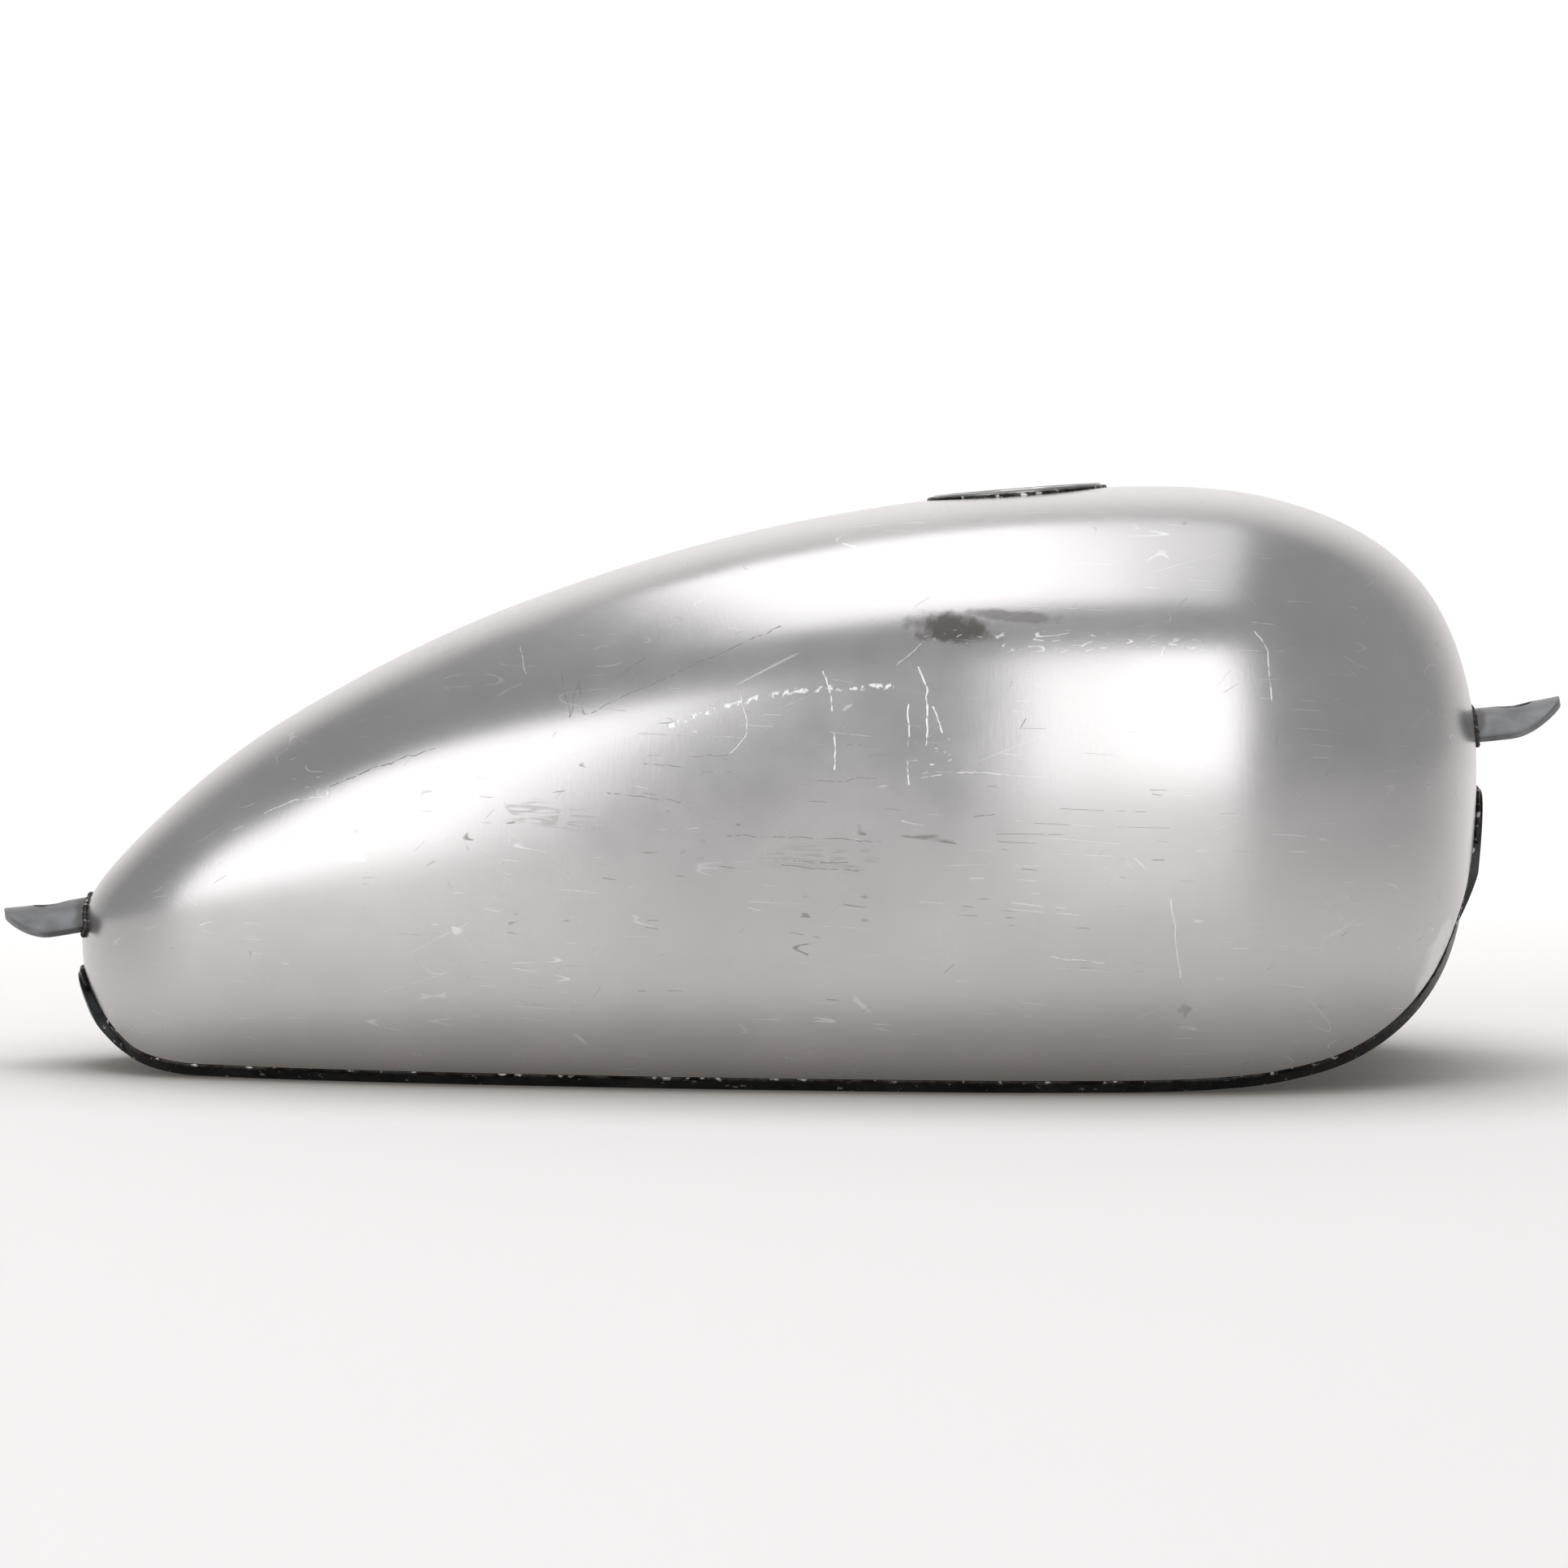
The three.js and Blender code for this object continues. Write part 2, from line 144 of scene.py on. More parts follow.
def around(azimuth, elevation, reach):
    """A point round the tank; azimuth 0 is before its right side, positive to its nose."""
    a, e = math.radians(azimuth), math.radians(elevation)
    flat = reach * math.cos(e)
    return (flat * math.sin(a), -flat * math.cos(a), TANK_MIDDLE[2] + reach * math.sin(e))


soft_box("soft_box_over", (-0.27, 0.2, 1.7), (-0.27, 0.2, 0.1), 0.74, 1.96, 1.8)
soft_box("soft_box_over_nose", (0.33, 0.2, 1.7), (0.33, 0.2, 0.1), 0.46, 1.96, 0.85)
soft_box("soft_box_front", around(8.3, 20.5, 3.0), TANK_MIDDLE, 1.42, 2.3, 1.95)
soft_box("soft_box_rear", around(-43.5, 18, 3.0), TANK_MIDDLE, 1.55, 2.0, 1.95)
soft_box("soft_box_backdrop", (0, 1.2, 2.3), (0, 3.5, 1.0), 3.6, 1.3, 3.4)

camera_data = bpy.data.cameras.new("camera")
camera_data.sensor_width = 36
camera_data.lens = 145.74
camera = bpy.data.objects.new("camera", camera_data)
bpy.context.collection.objects.link(camera)
camera.location = (0.0007, -2.2, 0.2176)
aim = Vector((0.0007, 0, 0.0976)) - camera.location
camera.rotation_euler = aim.to_track_quat("-Z", "Y").to_euler()
bpy.context.scene.camera = camera
bpy.context.scene.view_settings.view_transform = "Standard"


# Half shells: 1.5 mm cold-rolled sheet, pressed as a right and a left half. The form is lofted
# through sections between a crest, a belt and a keel line; the keel is cut away where the pan's
# lip begins.
BODY_LENGTH, BODY_MIDDLE_X = 483.0, -1.5
CREST_Z = (46, 77.5, 120, 159.2, 187.2, 199.6, 196.8, 166.3, 103)
BELT_Z = (46, 51, 57, 65, 74.5, 84, 92, 99, 103)
KEEL_Z = (46, -6, -13, -15.5, -19, -22, -20, 10, 103)
HALF_WIDTH = (0, 42, 67, 90, 108, 118.5, 114, 78, 0)
SHOULDER_POWER, TUCK_POWER, END_POWER = 2.8, 3.5, 2.1
SKIN, GAP, PAN_SHEET, LIP, SEAM_HALF = 1.5, 0.3, 1.8, 4.6, 2.0
EDGE = (
    (-246, 32), (-239.5, 29.5), (-235.5, 24), (-229.5, 16.5), (-221, 9.4), (-208, 5.6), (-190, 4.8),
    (-165, 4.6), (-150, 4.6), (80, 4.6), (95, 4.6), (120, 4.8), (142, 5.5), (165, 7.6), (187, 12.9),
    (205, 23.2), (219, 38), (229, 56.5), (233, 66), (236, 76), (238.5, 84), (244, 90),
)
TUNNEL_HALF, TUNNEL_TOP_REAR, TUNNEL_TOP_FRONT, TUNNEL_SPAN = 29.5, 33.0, 95.5, 478.0
FILLER = Vector((81.3, 0, 199.95))
FILLER_RISE = math.radians(4.5)
FILLER_HOLE_R = 29.3
AROUND, ALONG = ((192, 128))


def through(knots, u):
    """Smooth value through equally spaced knots, u from 0 to 1."""
    last = len(knots) - 1
    line = (2 * knots[0] - knots[1], *knots, 2 * knots[last] - knots[last - 1])
    i = min(int(u * last), last - 1)
    t = u * last - i
    p0, p1, p2, p3 = line[i:i + 4]
    m0, m1, a = (p2 - p0) / 2, (p3 - p1) / 2, 2 * t ** 3 - 3 * t ** 2
    return p1 * (1 + a) - p2 * a + m0 * (t ** 3 - 2 * t ** 2 + t) + m1 * (t ** 3 - t ** 2)


def section(u, upper):
    """Half width, belt height, reach to crest or keel, and fullness power at a station."""
    belt = through(BELT_Z, u)
    reach = through(CREST_Z, u) - belt if upper else belt - through(KEEL_Z, u)
    fullness = max(math.sin(math.pi * u), 0) ** 0.6
    power = END_POWER + ((SHOULDER_POWER if upper else TUCK_POWER) - END_POWER) * fullness
    return through(HALF_WIDTH, u), belt, reach, power


def skin_point(u, c, s):
    width, belt, reach, power = section(u, s > 0)
    x = BODY_MIDDLE_X - BODY_LENGTH / 2 * math.cos(math.pi * u)
    y = width * math.copysign(abs(c) ** (2 / power), c)
    return Vector((x, y, belt + reach * math.copysign(abs(s) ** (2 / power), s)))


def body_form(name, outwards):
    """A closed body form, its skin moved outwards by that many millimetres."""
    deselect()
    bpy.ops.mesh.primitive_uv_sphere_add(segments=AROUND, ring_count=ALONG, radius=1)
    form = bpy.context.object
    form.name = name
    for vertex in form.data.vertices:
        x, y, z = vertex.co
        r = math.hypot(x, y)
        c, s = (x / r, y / r) if r > 1e-6 else (1.0, 0.0)
        u = math.acos(max(-1.0, min(1.0, z))) / math.pi
        vertex.co = skin_point(u, c, s) * MM
    bpy.ops.object.mode_set(mode="EDIT")
    bpy.ops.mesh.select_all(action="SELECT")
    bpy.ops.mesh.remove_doubles(threshold=1e-6)
    bpy.ops.mesh.normals_make_consistent(inside=False)
    bpy.ops.object.mode_set(mode="OBJECT")
    bpy.ops.object.shade_smooth()
    normals = [v.normal.copy() for v in form.data.vertices]
    for vertex, normal in zip(form.data.vertices, normals):
        vertex.co += normal * outwards * MM
    return form


def prism(name, outline, low, high, axis):
    """A flat outline of (across, up) points drawn out from low to high along X or Y."""
    mesh = bpy.data.meshes.new(name)
    spot = (lambda a, b: (low, a, b)) if axis == "X" else (lambda a, b: (a, low, b))
    mesh.from_pydata([Vector(spot(a, b)) * MM for a, b in outline], [], [range(len(outline))])
    piece = bpy.data.objects.new(name, mesh)
    bpy.context.collection.objects.link(piece)
    deselect()
    bpy.context.view_layer.objects.active = piece
    piece.select_set(True)
    bpy.ops.object.mode_set(mode="EDIT")
    bpy.ops.mesh.select_all(action="SELECT")
    run = ((high - low) * MM, 0, 0) if axis == "X" else (0, (high - low) * MM, 0)
    bpy.ops.mesh.extrude_region_move(TRANSFORM_OT_translate={"value": run})
    bpy.ops.mesh.select_all(action="SELECT")
    bpy.ops.mesh.normals_make_consistent(inside=False)
    bpy.ops.object.mode_set(mode="OBJECT")
    return piece


def edge_curve(count_each=6):
    """Points and directions down the shells' lower edge, tail to nose."""
    knots = [Vector(p) for p in EDGE]
    line = [2 * knots[0] - knots[1], *knots, 2 * knots[-1] - knots[-2]]
    points = []
    for i in range(len(knots) - 1):
        p = line[i:i + 4]
        t = [0.0]
        for a, b in zip(p, p[1:]):
            t.append(t[-1] + max((b - a).length, 1e-6) ** 0.5)
        for k in range(count_each + (i == len(knots) - 2)):
            at = t[1] + (t[2] - t[1]) * k / count_each
            a = [p[j].lerp(p[j + 1], (at - t[j]) / (t[j + 1] - t[j])) for j in range(3)]
            b = [a[j].lerp(a[j + 1], (at - t[j]) / (t[j + 2] - t[j])) for j in range(2)]
            points.append(b[0].lerp(b[1], (at - t[1]) / (t[2] - t[1])))
    last = len(points) - 1
    ways = [(points[min(i + 1, last)] - points[max(i - 1, 0)]).normalized() for i in range(last + 1)]
    return points, ways


def above_edge(outwards):
    points, ways = edge_curve()
    moved = [(p.x + d.y * outwards, p.y - d.x * outwards) for p, d in zip(points, ways)]
    outline = [(-300, 400), (-300, moved[0][1]), *moved, (300, moved[-1][1]), (300, 400)]
    return prism("above_edge", outline, -200, 200, "Y")


def tunnel_form(outwards):
    r = TUNNEL_HALF + outwards
    slope = (TUNNEL_TOP_FRONT - TUNNEL_TOP_REAR) / TUNNEL_SPAN
    middle = (TUNNEL_TOP_FRONT + TUNNEL_TOP_REAR) / 2
    turns = [math.pi * k / 48 for k in range(49)]
    arch = [(r * math.cos(a), r * math.sin(a) - TUNNEL_HALF) for a in turns]
    piece = prism("tunnel_form", [(r, -200), *arch, (-r, -200)], -320, 320, "X")
    for vertex in piece.data.vertices:
        vertex.co.z += middle * MM + slope * vertex.co.x
    return piece


def post(name, x, y, r, low, high, steps=96):
    deselect()
    bpy.ops.mesh.primitive_cylinder_add(
        vertices=steps, radius=r * MM, depth=(high - low) * MM,
        location=(x * MM, y * MM, (low + high) / 2 * MM))
    piece = bpy.context.object
    piece.name = name
    settle(piece)
    return piece


def settle(piece):
    """Writes an object's place and turn into its mesh."""
    piece.data.transform(piece.matrix_world)
    piece.matrix_world = Matrix()


def at_filler(piece):
    turn = Matrix.Translation(FILLER * MM) @ Matrix.Rotation(-FILLER_RISE, 4, "Y")
    piece.data.transform(turn)
    return piece


def join(piece, tool, operation):
    """Cuts, keeps or adds a tool's solid by an applied Boolean, then drops the tool."""
    deselect()
    bpy.context.view_layer.objects.active = piece
    step = piece.modifiers.new("join", "BOOLEAN")
    step.operation, step.object, step.solver = operation, tool, "MANIFOLD"
    bpy.ops.object.modifier_apply(modifier="join")
    bpy.data.objects.remove(tool)
    return piece


def finish_edges(piece, angle=32):
    deselect()
    piece.select_set(True)
    bpy.context.view_layer.objects.active = piece
    bpy.ops.object.shade_smooth_by_angle(angle=math.radians(angle))


def slab(name, x0, x1, y0, y1):
    """A box as tall as the tank and more, between two places along it and two across it."""
    return prism(name, [(x0, -60), (x1, -60), (x1, 260), (x0, 260)], y0, y1, "Y")


def half_shell(name, side):
    shell = join(body_form(name, -0.05), body_form("hollow", -SKIN), "DIFFERENCE")
    join(shell, above_edge(0), "INTERSECT")
    join(shell, tunnel_form(GAP), "DIFFERENCE")
    join(shell, at_filler(post("hole", 0, 0, FILLER_HOLE_R, -40, 40)), "DIFFERENCE")
    low, high = (SEAM_HALF, 200) if side > 0 else (-200, -SEAM_HALF)
    join(shell, slab("half", -300, 300, low, high), "INTERSECT")
    finish_edges(shell)
    return shell


def dress(piece, material, slot, body, *nodes):
    piece.data.materials.clear()
    piece.data.materials.append(material)
    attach(piece, body)
    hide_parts(*nodes)


# Bare cold-rolled sheet, as it comes from the press: a satin grey that mirrors the soft boxes as blurred
# shapes. Handling has dulled it in clouds and left hair-fine bright scratches in every direction, thin dark
# scores and a row of scuffs along the side; one long narrow dark band lies under the shoulder.
def scratches(tree, place, apart, drawn_out, half_width, piece, keep, turn=0.0, seed=0.0):
    """Fine lines, 1 on a line: about so far apart, drawn out one way, and broken into pieces (mm)."""
    bent = add_node(tree, "ShaderNodeMapping", {"Vector": place}, vector_type="POINT")
    bent.inputs["Location"].default_value = (seed, seed * 0.61, -seed * 0.37)
    bent.inputs["Rotation"].default_value = (0, turn, 0)
    slim, wide = 0.4 * half_width / apart, 1.5 * half_width / apart
    drawn = add_node(tree, "ShaderNodeVectorMath", {0: bent.outputs[0]}, operation="MULTIPLY")
    drawn.inputs[1].default_value = (1 / drawn_out, 0.4, 1)
    ridge = add_node(
        tree, "ShaderNodeTexNoise", {"Vector": drawn.outputs[0]},
        {"Scale": 1 / (apart * MM), "Detail": 0.0})
    level = add_node(tree, "ShaderNodeMath", {0: ridge.outputs["Fac"]}, {1: 0.5}, operation="SUBTRACT")
    off = add_node(tree, "ShaderNodeMath", {0: level.outputs[0]}, operation="ABSOLUTE")
    line = add_node(
        tree, "ShaderNodeMapRange", {"Value": off.outputs[0]},
        {"From Min": slim, "From Max": wide, "To Min": 1.0, "To Max": 0.0})
    runs = add_node(
        tree, "ShaderNodeTexNoise", {"Vector": bent.outputs[0]}, {"Scale": 1 / (piece * MM), "Detail": 1.0})
    kept = add_node(
        tree, "ShaderNodeMapRange", {"Value": runs.outputs["Fac"]},
        {"From Min": keep, "From Max": keep + 0.05})
    return only(tree, line.outputs["Result"], kept.outputs["Result"])


def strokes(tree, flat, lines, half_width):
    """Placed scratches: 1 on any of the lines, each a list of (x, z) points seen from the side."""
    nearest = None
    for line in lines:
        for (x0, z0), (x1, z1) in zip(line, line[1:]):
            run = math.hypot(x1 - x0, z1 - z0)
            way = ((x1 - x0) / run, 0, (z1 - z0) / run)
            start = add_node(tree, "ShaderNodeVectorMath", {0: flat}, operation="SUBTRACT")
            start.inputs[1].default_value = (x0 * MM, 0, z0 * MM)
            reached = add_node(tree, "ShaderNodeVectorMath", {0: start.outputs[0]}, operation="DOT_PRODUCT")
            reached.inputs[1].default_value = way
            held = add_node(
                tree, "ShaderNodeClamp", {"Value": reached.outputs["Value"]}, {"Min": 0.0, "Max": run * MM})
            foot = add_node(tree, "ShaderNodeVectorMath", {"Scale": held.outputs[0]}, operation="SCALE")
            foot.inputs[0].default_value = way
            off = add_node(
                tree, "ShaderNodeVectorMath", {0: start.outputs[0], 1: foot.outputs[0]},
                operation="DISTANCE").outputs["Value"]
            if nearest is not None:
                off = add_node(tree, "ShaderNodeMath", {0: nearest, 1: off}, operation="MINIMUM").outputs[0]
            nearest = off
    line = add_node(
        tree, "ShaderNodeMapRange", {"Value": nearest},
        {"From Min": 0.5 * half_width * MM, "From Max": 1.4 * half_width * MM, "To Min": 1.0,
         "To Max": 0.0})
    return line.outputs["Result"]


def patch(tree, place, middle, reach, ragged=0.0, turn=0.0):
    """1 in the middle of a soft oval patch of the surface, 0 outside it; ragged frays its edge."""
    moved = add_node(tree, "ShaderNodeVectorMath", {0: place}, operation="SUBTRACT")
    moved.inputs[1].default_value = [v * MM for v in middle]
    bent = add_node(tree, "ShaderNodeMapping", {"Vector": moved.outputs[0]}, vector_type="POINT")
    bent.inputs["Rotation"].default_value = (0, turn, 0)
    sized = add_node(tree, "ShaderNodeVectorMath", {0: bent.outputs[0]}, operation="DIVIDE")
    sized.inputs[1].default_value = [v * MM for v in reach]
    away = add_node(tree, "ShaderNodeVectorMath", {0: sized.outputs[0]}, operation="LENGTH")
    distance = away.outputs["Value"]
    if ragged:
        fray = add_node(tree, "ShaderNodeTexNoise", {"Vector": place}, {"Scale": 160.0, "Detail": 5.0})
        distance = add_node(
            tree, "ShaderNodeMath", {0: fray.outputs["Fac"], 2: distance}, {1: ragged},
            operation="MULTIPLY_ADD").outputs[0]
    edge = add_node(
        tree, "ShaderNodeMapRange", {"Value": distance},
        {"From Min": 0.4 + ragged / 2, "From Max": 1.0 + ragged / 2, "To Min": 1.0, "To Max": 0.0},
        interpolation_type="SMOOTHSTEP")
    return edge.outputs["Result"]


def most(tree, *layers):
    """The strongest of several layers."""
    top = layers[0]
    for layer in layers[1:]:
        top = add_node(tree, "ShaderNodeMath", {0: top, 1: layer}, operation="MAXIMUM").outputs[0]
    return top


def only(tree, layer, where, share=1.0):
    """A layer kept only where another is strong, at a share of its strength."""
    kept = add_node(tree, "ShaderNodeMath", {0: layer, 1: where}, operation="MULTIPLY")
    weak = add_node(tree, "ShaderNodeMath", {0: kept.outputs[0]}, {1: share}, operation="MULTIPLY")
    return weak.outputs[0]


def tinted(tree, colour, strength, code):
    """Paints a hex colour over another, itself a hex colour or an output, where a layer is strong."""
    mix = add_node(tree, "ShaderNodeMix", {0: strength}, data_type="RGBA")
    if isinstance(colour, str):
        mix.inputs["A"].default_value = srgb(colour)
    else:
        tree.links.new(colour, mix.inputs["A"])
    mix.inputs["B"].default_value = srgb(code)
    return mix.outputs["Result"]


def between(tree, low, high, strength):
    """A value that runs from low to high as a layer gets stronger."""
    span = add_node(tree, "ShaderNodeMapRange", {"Value": strength}, {"To Min": low, "To Max": high})
    return span.outputs["Result"]


def cold_rolled_sheet():
    material, tree, shader = new_material("cold_rolled_sheet_steel", "BDBCBA", 1.0, 0.3)
    place = add_node(tree, "ShaderNodeTexCoord").outputs["Object"]

    # Handling clouds 40 to 90 mm wide, and rolling grain, really about 0.05 mm, drawn at 1.2 mm.
    cloud = add_node(
        tree, "ShaderNodeTexNoise", {"Vector": place}, {"Scale": 16.0, "Detail": 5.0, "Roughness": 0.62})
    along = add_node(tree, "ShaderNodeMapping", {"Vector": place}, vector_type="POINT")
    along.inputs["Scale"].default_value = (1.0, 1.0, 0.16)
    grain = add_node(
        tree, "ShaderNodeTexNoise", {"Vector": along.outputs[0]}, {"Scale": 800.0, "Detail": 3.0})
    clouds = add_node(
        tree, "ShaderNodeMapRange", {"Value": cloud.outputs["Fac"]},
        {"From Min": 0.32, "From Max": 0.68}).outputs["Result"]

    # Bright scratches, really a few hundredths of a millimetre wide, drawn at 0.2 to 0.4 mm: long
    # ones and short level ones everywhere.
    long_ones = scratches(tree, place, 20, 60, 0.035, 30, 0.6, turn=0.38, seed=2.2)
    crossing = scratches(tree, place, 17, 60, 0.03, 20, 0.63, turn=-0.8, seed=6.1)
    level_ones = scratches(tree, place, 6, 30, 0.04, 12, 0.58, turn=-0.06, seed=1.7)
    tangled = scratches(tree, place, 2.2, 4.0, 0.06, 4, 0.54, turn=0.12, seed=4.2)
    crown = most(
        tree, patch(tree, place, (95, -105, 150), (62, 40, 5), 0.9, turn=-0.04),
        patch(tree, place, (50, -112, 112), (13, 40, 9), 0.7),
        patch(tree, place, (-150, -70, 100), (50, 40, 6), 0.8, turn=-0.42))

    # The right side's own marks: uprights where a strap or a bench edge has rubbed, a chattering
    # skid along the shoulder, a hooked scratch, and a score that runs down to the tail.
    wobble = add_node(tree, "ShaderNodeTexNoise", {"Vector": place}, {"Scale": 170.0, "Detail": 2.0})
    shaken = add_node(
        tree, "ShaderNodeVectorMath", {0: wobble.outputs["Color"], 2: place}, operation="MULTIPLY_ADD")
    shaken.inputs[1].default_value = (0.0022, 0.0, 0.0022)
    centred = add_node(tree, "ShaderNodeVectorMath", {0: shaken.outputs[0]}, operation="SUBTRACT")
    centred.inputs[1].default_value = (0.0011, 0.0, 0.0011)
    flat = add_node(tree, "ShaderNodeVectorMath", {0: centred.outputs[0]}, operation="MULTIPLY")
    flat.inputs[1].default_value = (1, 0, 1)
    gaps = add_node(tree, "ShaderNodeTexNoise", {"Vector": place}, {"Scale": 520.0, "Detail": 3.0})
    worn_through = add_node(
        tree, "ShaderNodeMapRange", {"Value": gaps.outputs["Fac"]},
        {"From Min": 0.38, "From Max": 0.5, "To Min": 0.15}).outputs["Result"]
    chatter = add_node(
        tree, "ShaderNodeMapRange", {"Value": gaps.outputs["Fac"]},
        {"From Min": 0.5, "From Max": 0.56}).outputs["Result"]
    apart = add_node(tree, "ShaderNodeSeparateXYZ", {"Vector": place})
    right_side = add_node(
        tree, "ShaderNodeMapRange", {"Value": apart.outputs["Y"]},
        {"From Min": -0.03, "From Max": -0.02, "To Min": 1.0, "To Max": 0.0}).outputs["Result"]
    uprights = strokes(tree, flat.outputs[0], [
        [(13.9, 140.4), (15.5, 134), (16.5, 127.7)], [(17.1, 120.5), (17.3, 108.5)],
        [(41.8, 130), (41.6, 116.5)], [(45.3, 141.8), (47.7, 135.1), (47.7, 116.5)],
        [(49.6, 129), (53, 120.5)], [(41.5, 111), (41.9, 104)],
        [(156.4, 153.7), (160.4, 147.1), (161, 131.1)]], 0.22)
    fine_ones = strokes(tree, flat.outputs[0], [
        [(38.4, 143.1), (46.9, 150.3)], [(57.6, 107.7), (74.4, 107.2)],
        [(-175, 91.2), (-165.5, 95.4), (-154.8, 97)],
        [(-14.4, 133.8), (-11.7, 125), (-12.4, 118.5), (-16.8, 113.3)], [(-88, 147), (-86, 139)],
        [(128, 66), (131, 40)], [(88, 47), (106, 45)]], 0.13)
    skid = strokes(tree, flat.outputs[0], [
        [(-37.3, 122.4), (-24.3, 127.1), (-10.9, 130.9), (3.7, 133.8), (14.4, 134.8), (37, 135.9)]], 0.75)
    bright = most(
        tree, only(tree, long_ones, clouds, 0.5), only(tree, level_ones, clouds, 0.5),
        only(tree, crossing, clouds, 0.35), only(tree, tangled, crown, 0.6),
        only(tree, only(tree, uprights, worn_through), right_side, 0.8),
        only(tree, only(tree, fine_ones, worn_through), right_side, 0.55),
        only(tree, only(tree, skid, chatter), right_side, 0.75))

    # Dark scores and rubs: short level dashes low on the side, longer scores and two rubbed spots. Besides
    # them, a narrow dark band under the shoulder, darkest just below the filler.
    dashes = scratches(tree, place, 5, 22, 0.06, 10, 0.60, turn=-0.05, seed=7.3)
    hooks = scratches(tree, place, 9, 9, 0.045, 9, 0.65, turn=0.7, seed=12.6)
    scores = strokes(tree, flat.outputs[0], [
        [(-63.7, 126.3), (-32, 141), (-0.3, 155)], [(-30.9, 112), (-17.6, 112.5)],
        [(-45.6, 109.8), (-33.6, 108.5)], [(11.7, 104), (35.7, 106.4)], [(-17.6, 86.4), (33, 85)],
        [(-0.3, 76.6), (25, 75.2)], [(4, 78.2), (22, 77.6)], [(-54.9, 137.8), (-45.6, 143.9)],
        [(63.2, 93), (70.4, 94.4)], [(-152, 100.5), (-134, 108), (-116.2, 113.8)],
        [(-73.6, 139), (-70.9, 124.5), (-67.7, 136.4), (-65.6, 125.8)], [(-58, 100), (-30, 97)],
        [(20, 117), (32, 116)], [(78, 122), (80.5, 125.5)]], 0.15)
    rub_lines = scratches(tree, place, 1.3, 16, 0.12, 9, 0.4, turn=-0.03, seed=15.2)
    rubs = only(tree, rub_lines, most(
        tree, patch(tree, place, (14, -109, 79), (24, 30, 6), 1.0),
        patch(tree, place, (-78, -92, 92), (26, 30, 5), 1.0, turn=-0.15)))
    # A narrow dark band under the shoulder on the right side, darkest just below the filler, laid into the
    # colour.
    dark_shoulder_band = most(
        tree,
        only(tree, patch(tree, place, (57, -103, 154.4), (20, 30, 6.5), 1.0, turn=-0.06), right_side, 0.85),
        only(tree, patch(tree, place, (78, -103, 158.6), (22, 30, 2.6), 1.0, turn=-0.06), right_side, 0.55))
    dark = most(
        tree, only(tree, dashes, patch(tree, place, (0, -110, 80), (200, 90, 74), 0.4), 0.65),
        only(tree, hooks, clouds, 0.5), only(tree, rubs, right_side, 0.28),
        only(tree, only(tree, scores, worn_through), right_side, 0.72))

    # A pale, almost white streak up the low front corner.
    pale_corner_streak = patch(tree, place, (219, -75, 43), (4.5, 40, 23), 1.1, turn=-0.44)

    colour = tinted(tree, "BAB8B8", clouds, "C3C0C0")
    colour = tinted(tree, colour, only(tree, pale_corner_streak, pale_corner_streak, 0.4), "EFEFEE")
    colour = tinted(tree, colour, dark, "6A6763")
    colour = tinted(tree, colour, dark_shoulder_band, "46423D")
    colour = tinted(tree, colour, bright, "FAFAFA")
    tree.links.new(colour, shader.inputs["Base Color"])

    satin = between(tree, 0.215, 0.285, clouds)
    rough = add_node(
        tree, "ShaderNodeMath", {0: most(tree, bright, dark, dark_shoulder_band), 2: satin}, {1: 0.26},
        operation="MULTIPLY_ADD")
    tree.links.new(rough.outputs[0], shader.inputs["Roughness"])
    relief = add_node(
        tree, "ShaderNodeMath", {0: bright, 2: grain.outputs["Fac"]}, {1: -1.5}, operation="MULTIPLY_ADD")
    bump = add_node(
        tree, "ShaderNodeBump", {"Height": relief.outputs[0]}, {"Strength": 0.12, "Distance": 0.00008})
    tree.links.new(bump.outputs["Normal"], shader.inputs["Normal"])
    return material


sheet_steel = cold_rolled_sheet()
for side, name in ((-1, "right_shell"), (1, "left_shell")):
    dress(half_shell(name + "_skin", side), sheet_steel, "bare_steel", "tank", name)


# Crest weld: the halves are butted along the crest and down the nose and tail, welded right
# through and ground flush, so it shows as a 4 mm band of brighter, coarser lines. The filler bung
# divides it into a front and a rear run.
WELD_SHY, WELD_END, WELD_CLEAR = 0.03, 0.4, 0.7


def ground_weld():
    material, tree, shader = new_material("ground_flush_weld", "CDCCCA", 1.0, 0.3)
    place = add_node(tree, "ShaderNodeTexCoord").outputs["Object"]
    across = add_node(tree, "ShaderNodeMapping", {"Vector": place}, vector_type="POINT")
    across.inputs["Scale"].default_value = (0.06, 1.0, 0.3)
    # Grinding lines, really 0.1 mm apart, are drawn at 0.7 mm, and pores 1 mm wide at 4 mm.
    lines = add_node(
        tree, "ShaderNodeTexNoise", {"Vector": across.outputs[0]}, {"Scale": 1500.0, "Detail": 3.0})
    pits = add_node(tree, "ShaderNodeTexNoise", {"Vector": place}, {"Scale": 260.0, "Detail": 2.0})
    pitted = add_node(
        tree, "ShaderNodeMapRange", {"Value": pits.outputs["Fac"]},
        {"From Min": 0.62, "From Max": 0.7}).outputs["Result"]
    colour = tinted(tree, "CFCECC", only(tree, pitted, pitted, 0.5), "7E7B77")
    tree.links.new(colour, shader.inputs["Base Color"])
    tree.links.new(between(tree, 0.2, 0.46, lines.outputs["Fac"]), shader.inputs["Roughness"])
    bump = add_node(
        tree, "ShaderNodeBump", {"Height": lines.outputs["Fac"]}, {"Strength": 0.25, "Distance": 0.0001})
    tree.links.new(bump.outputs["Normal"], shader.inputs["Normal"])
    return material


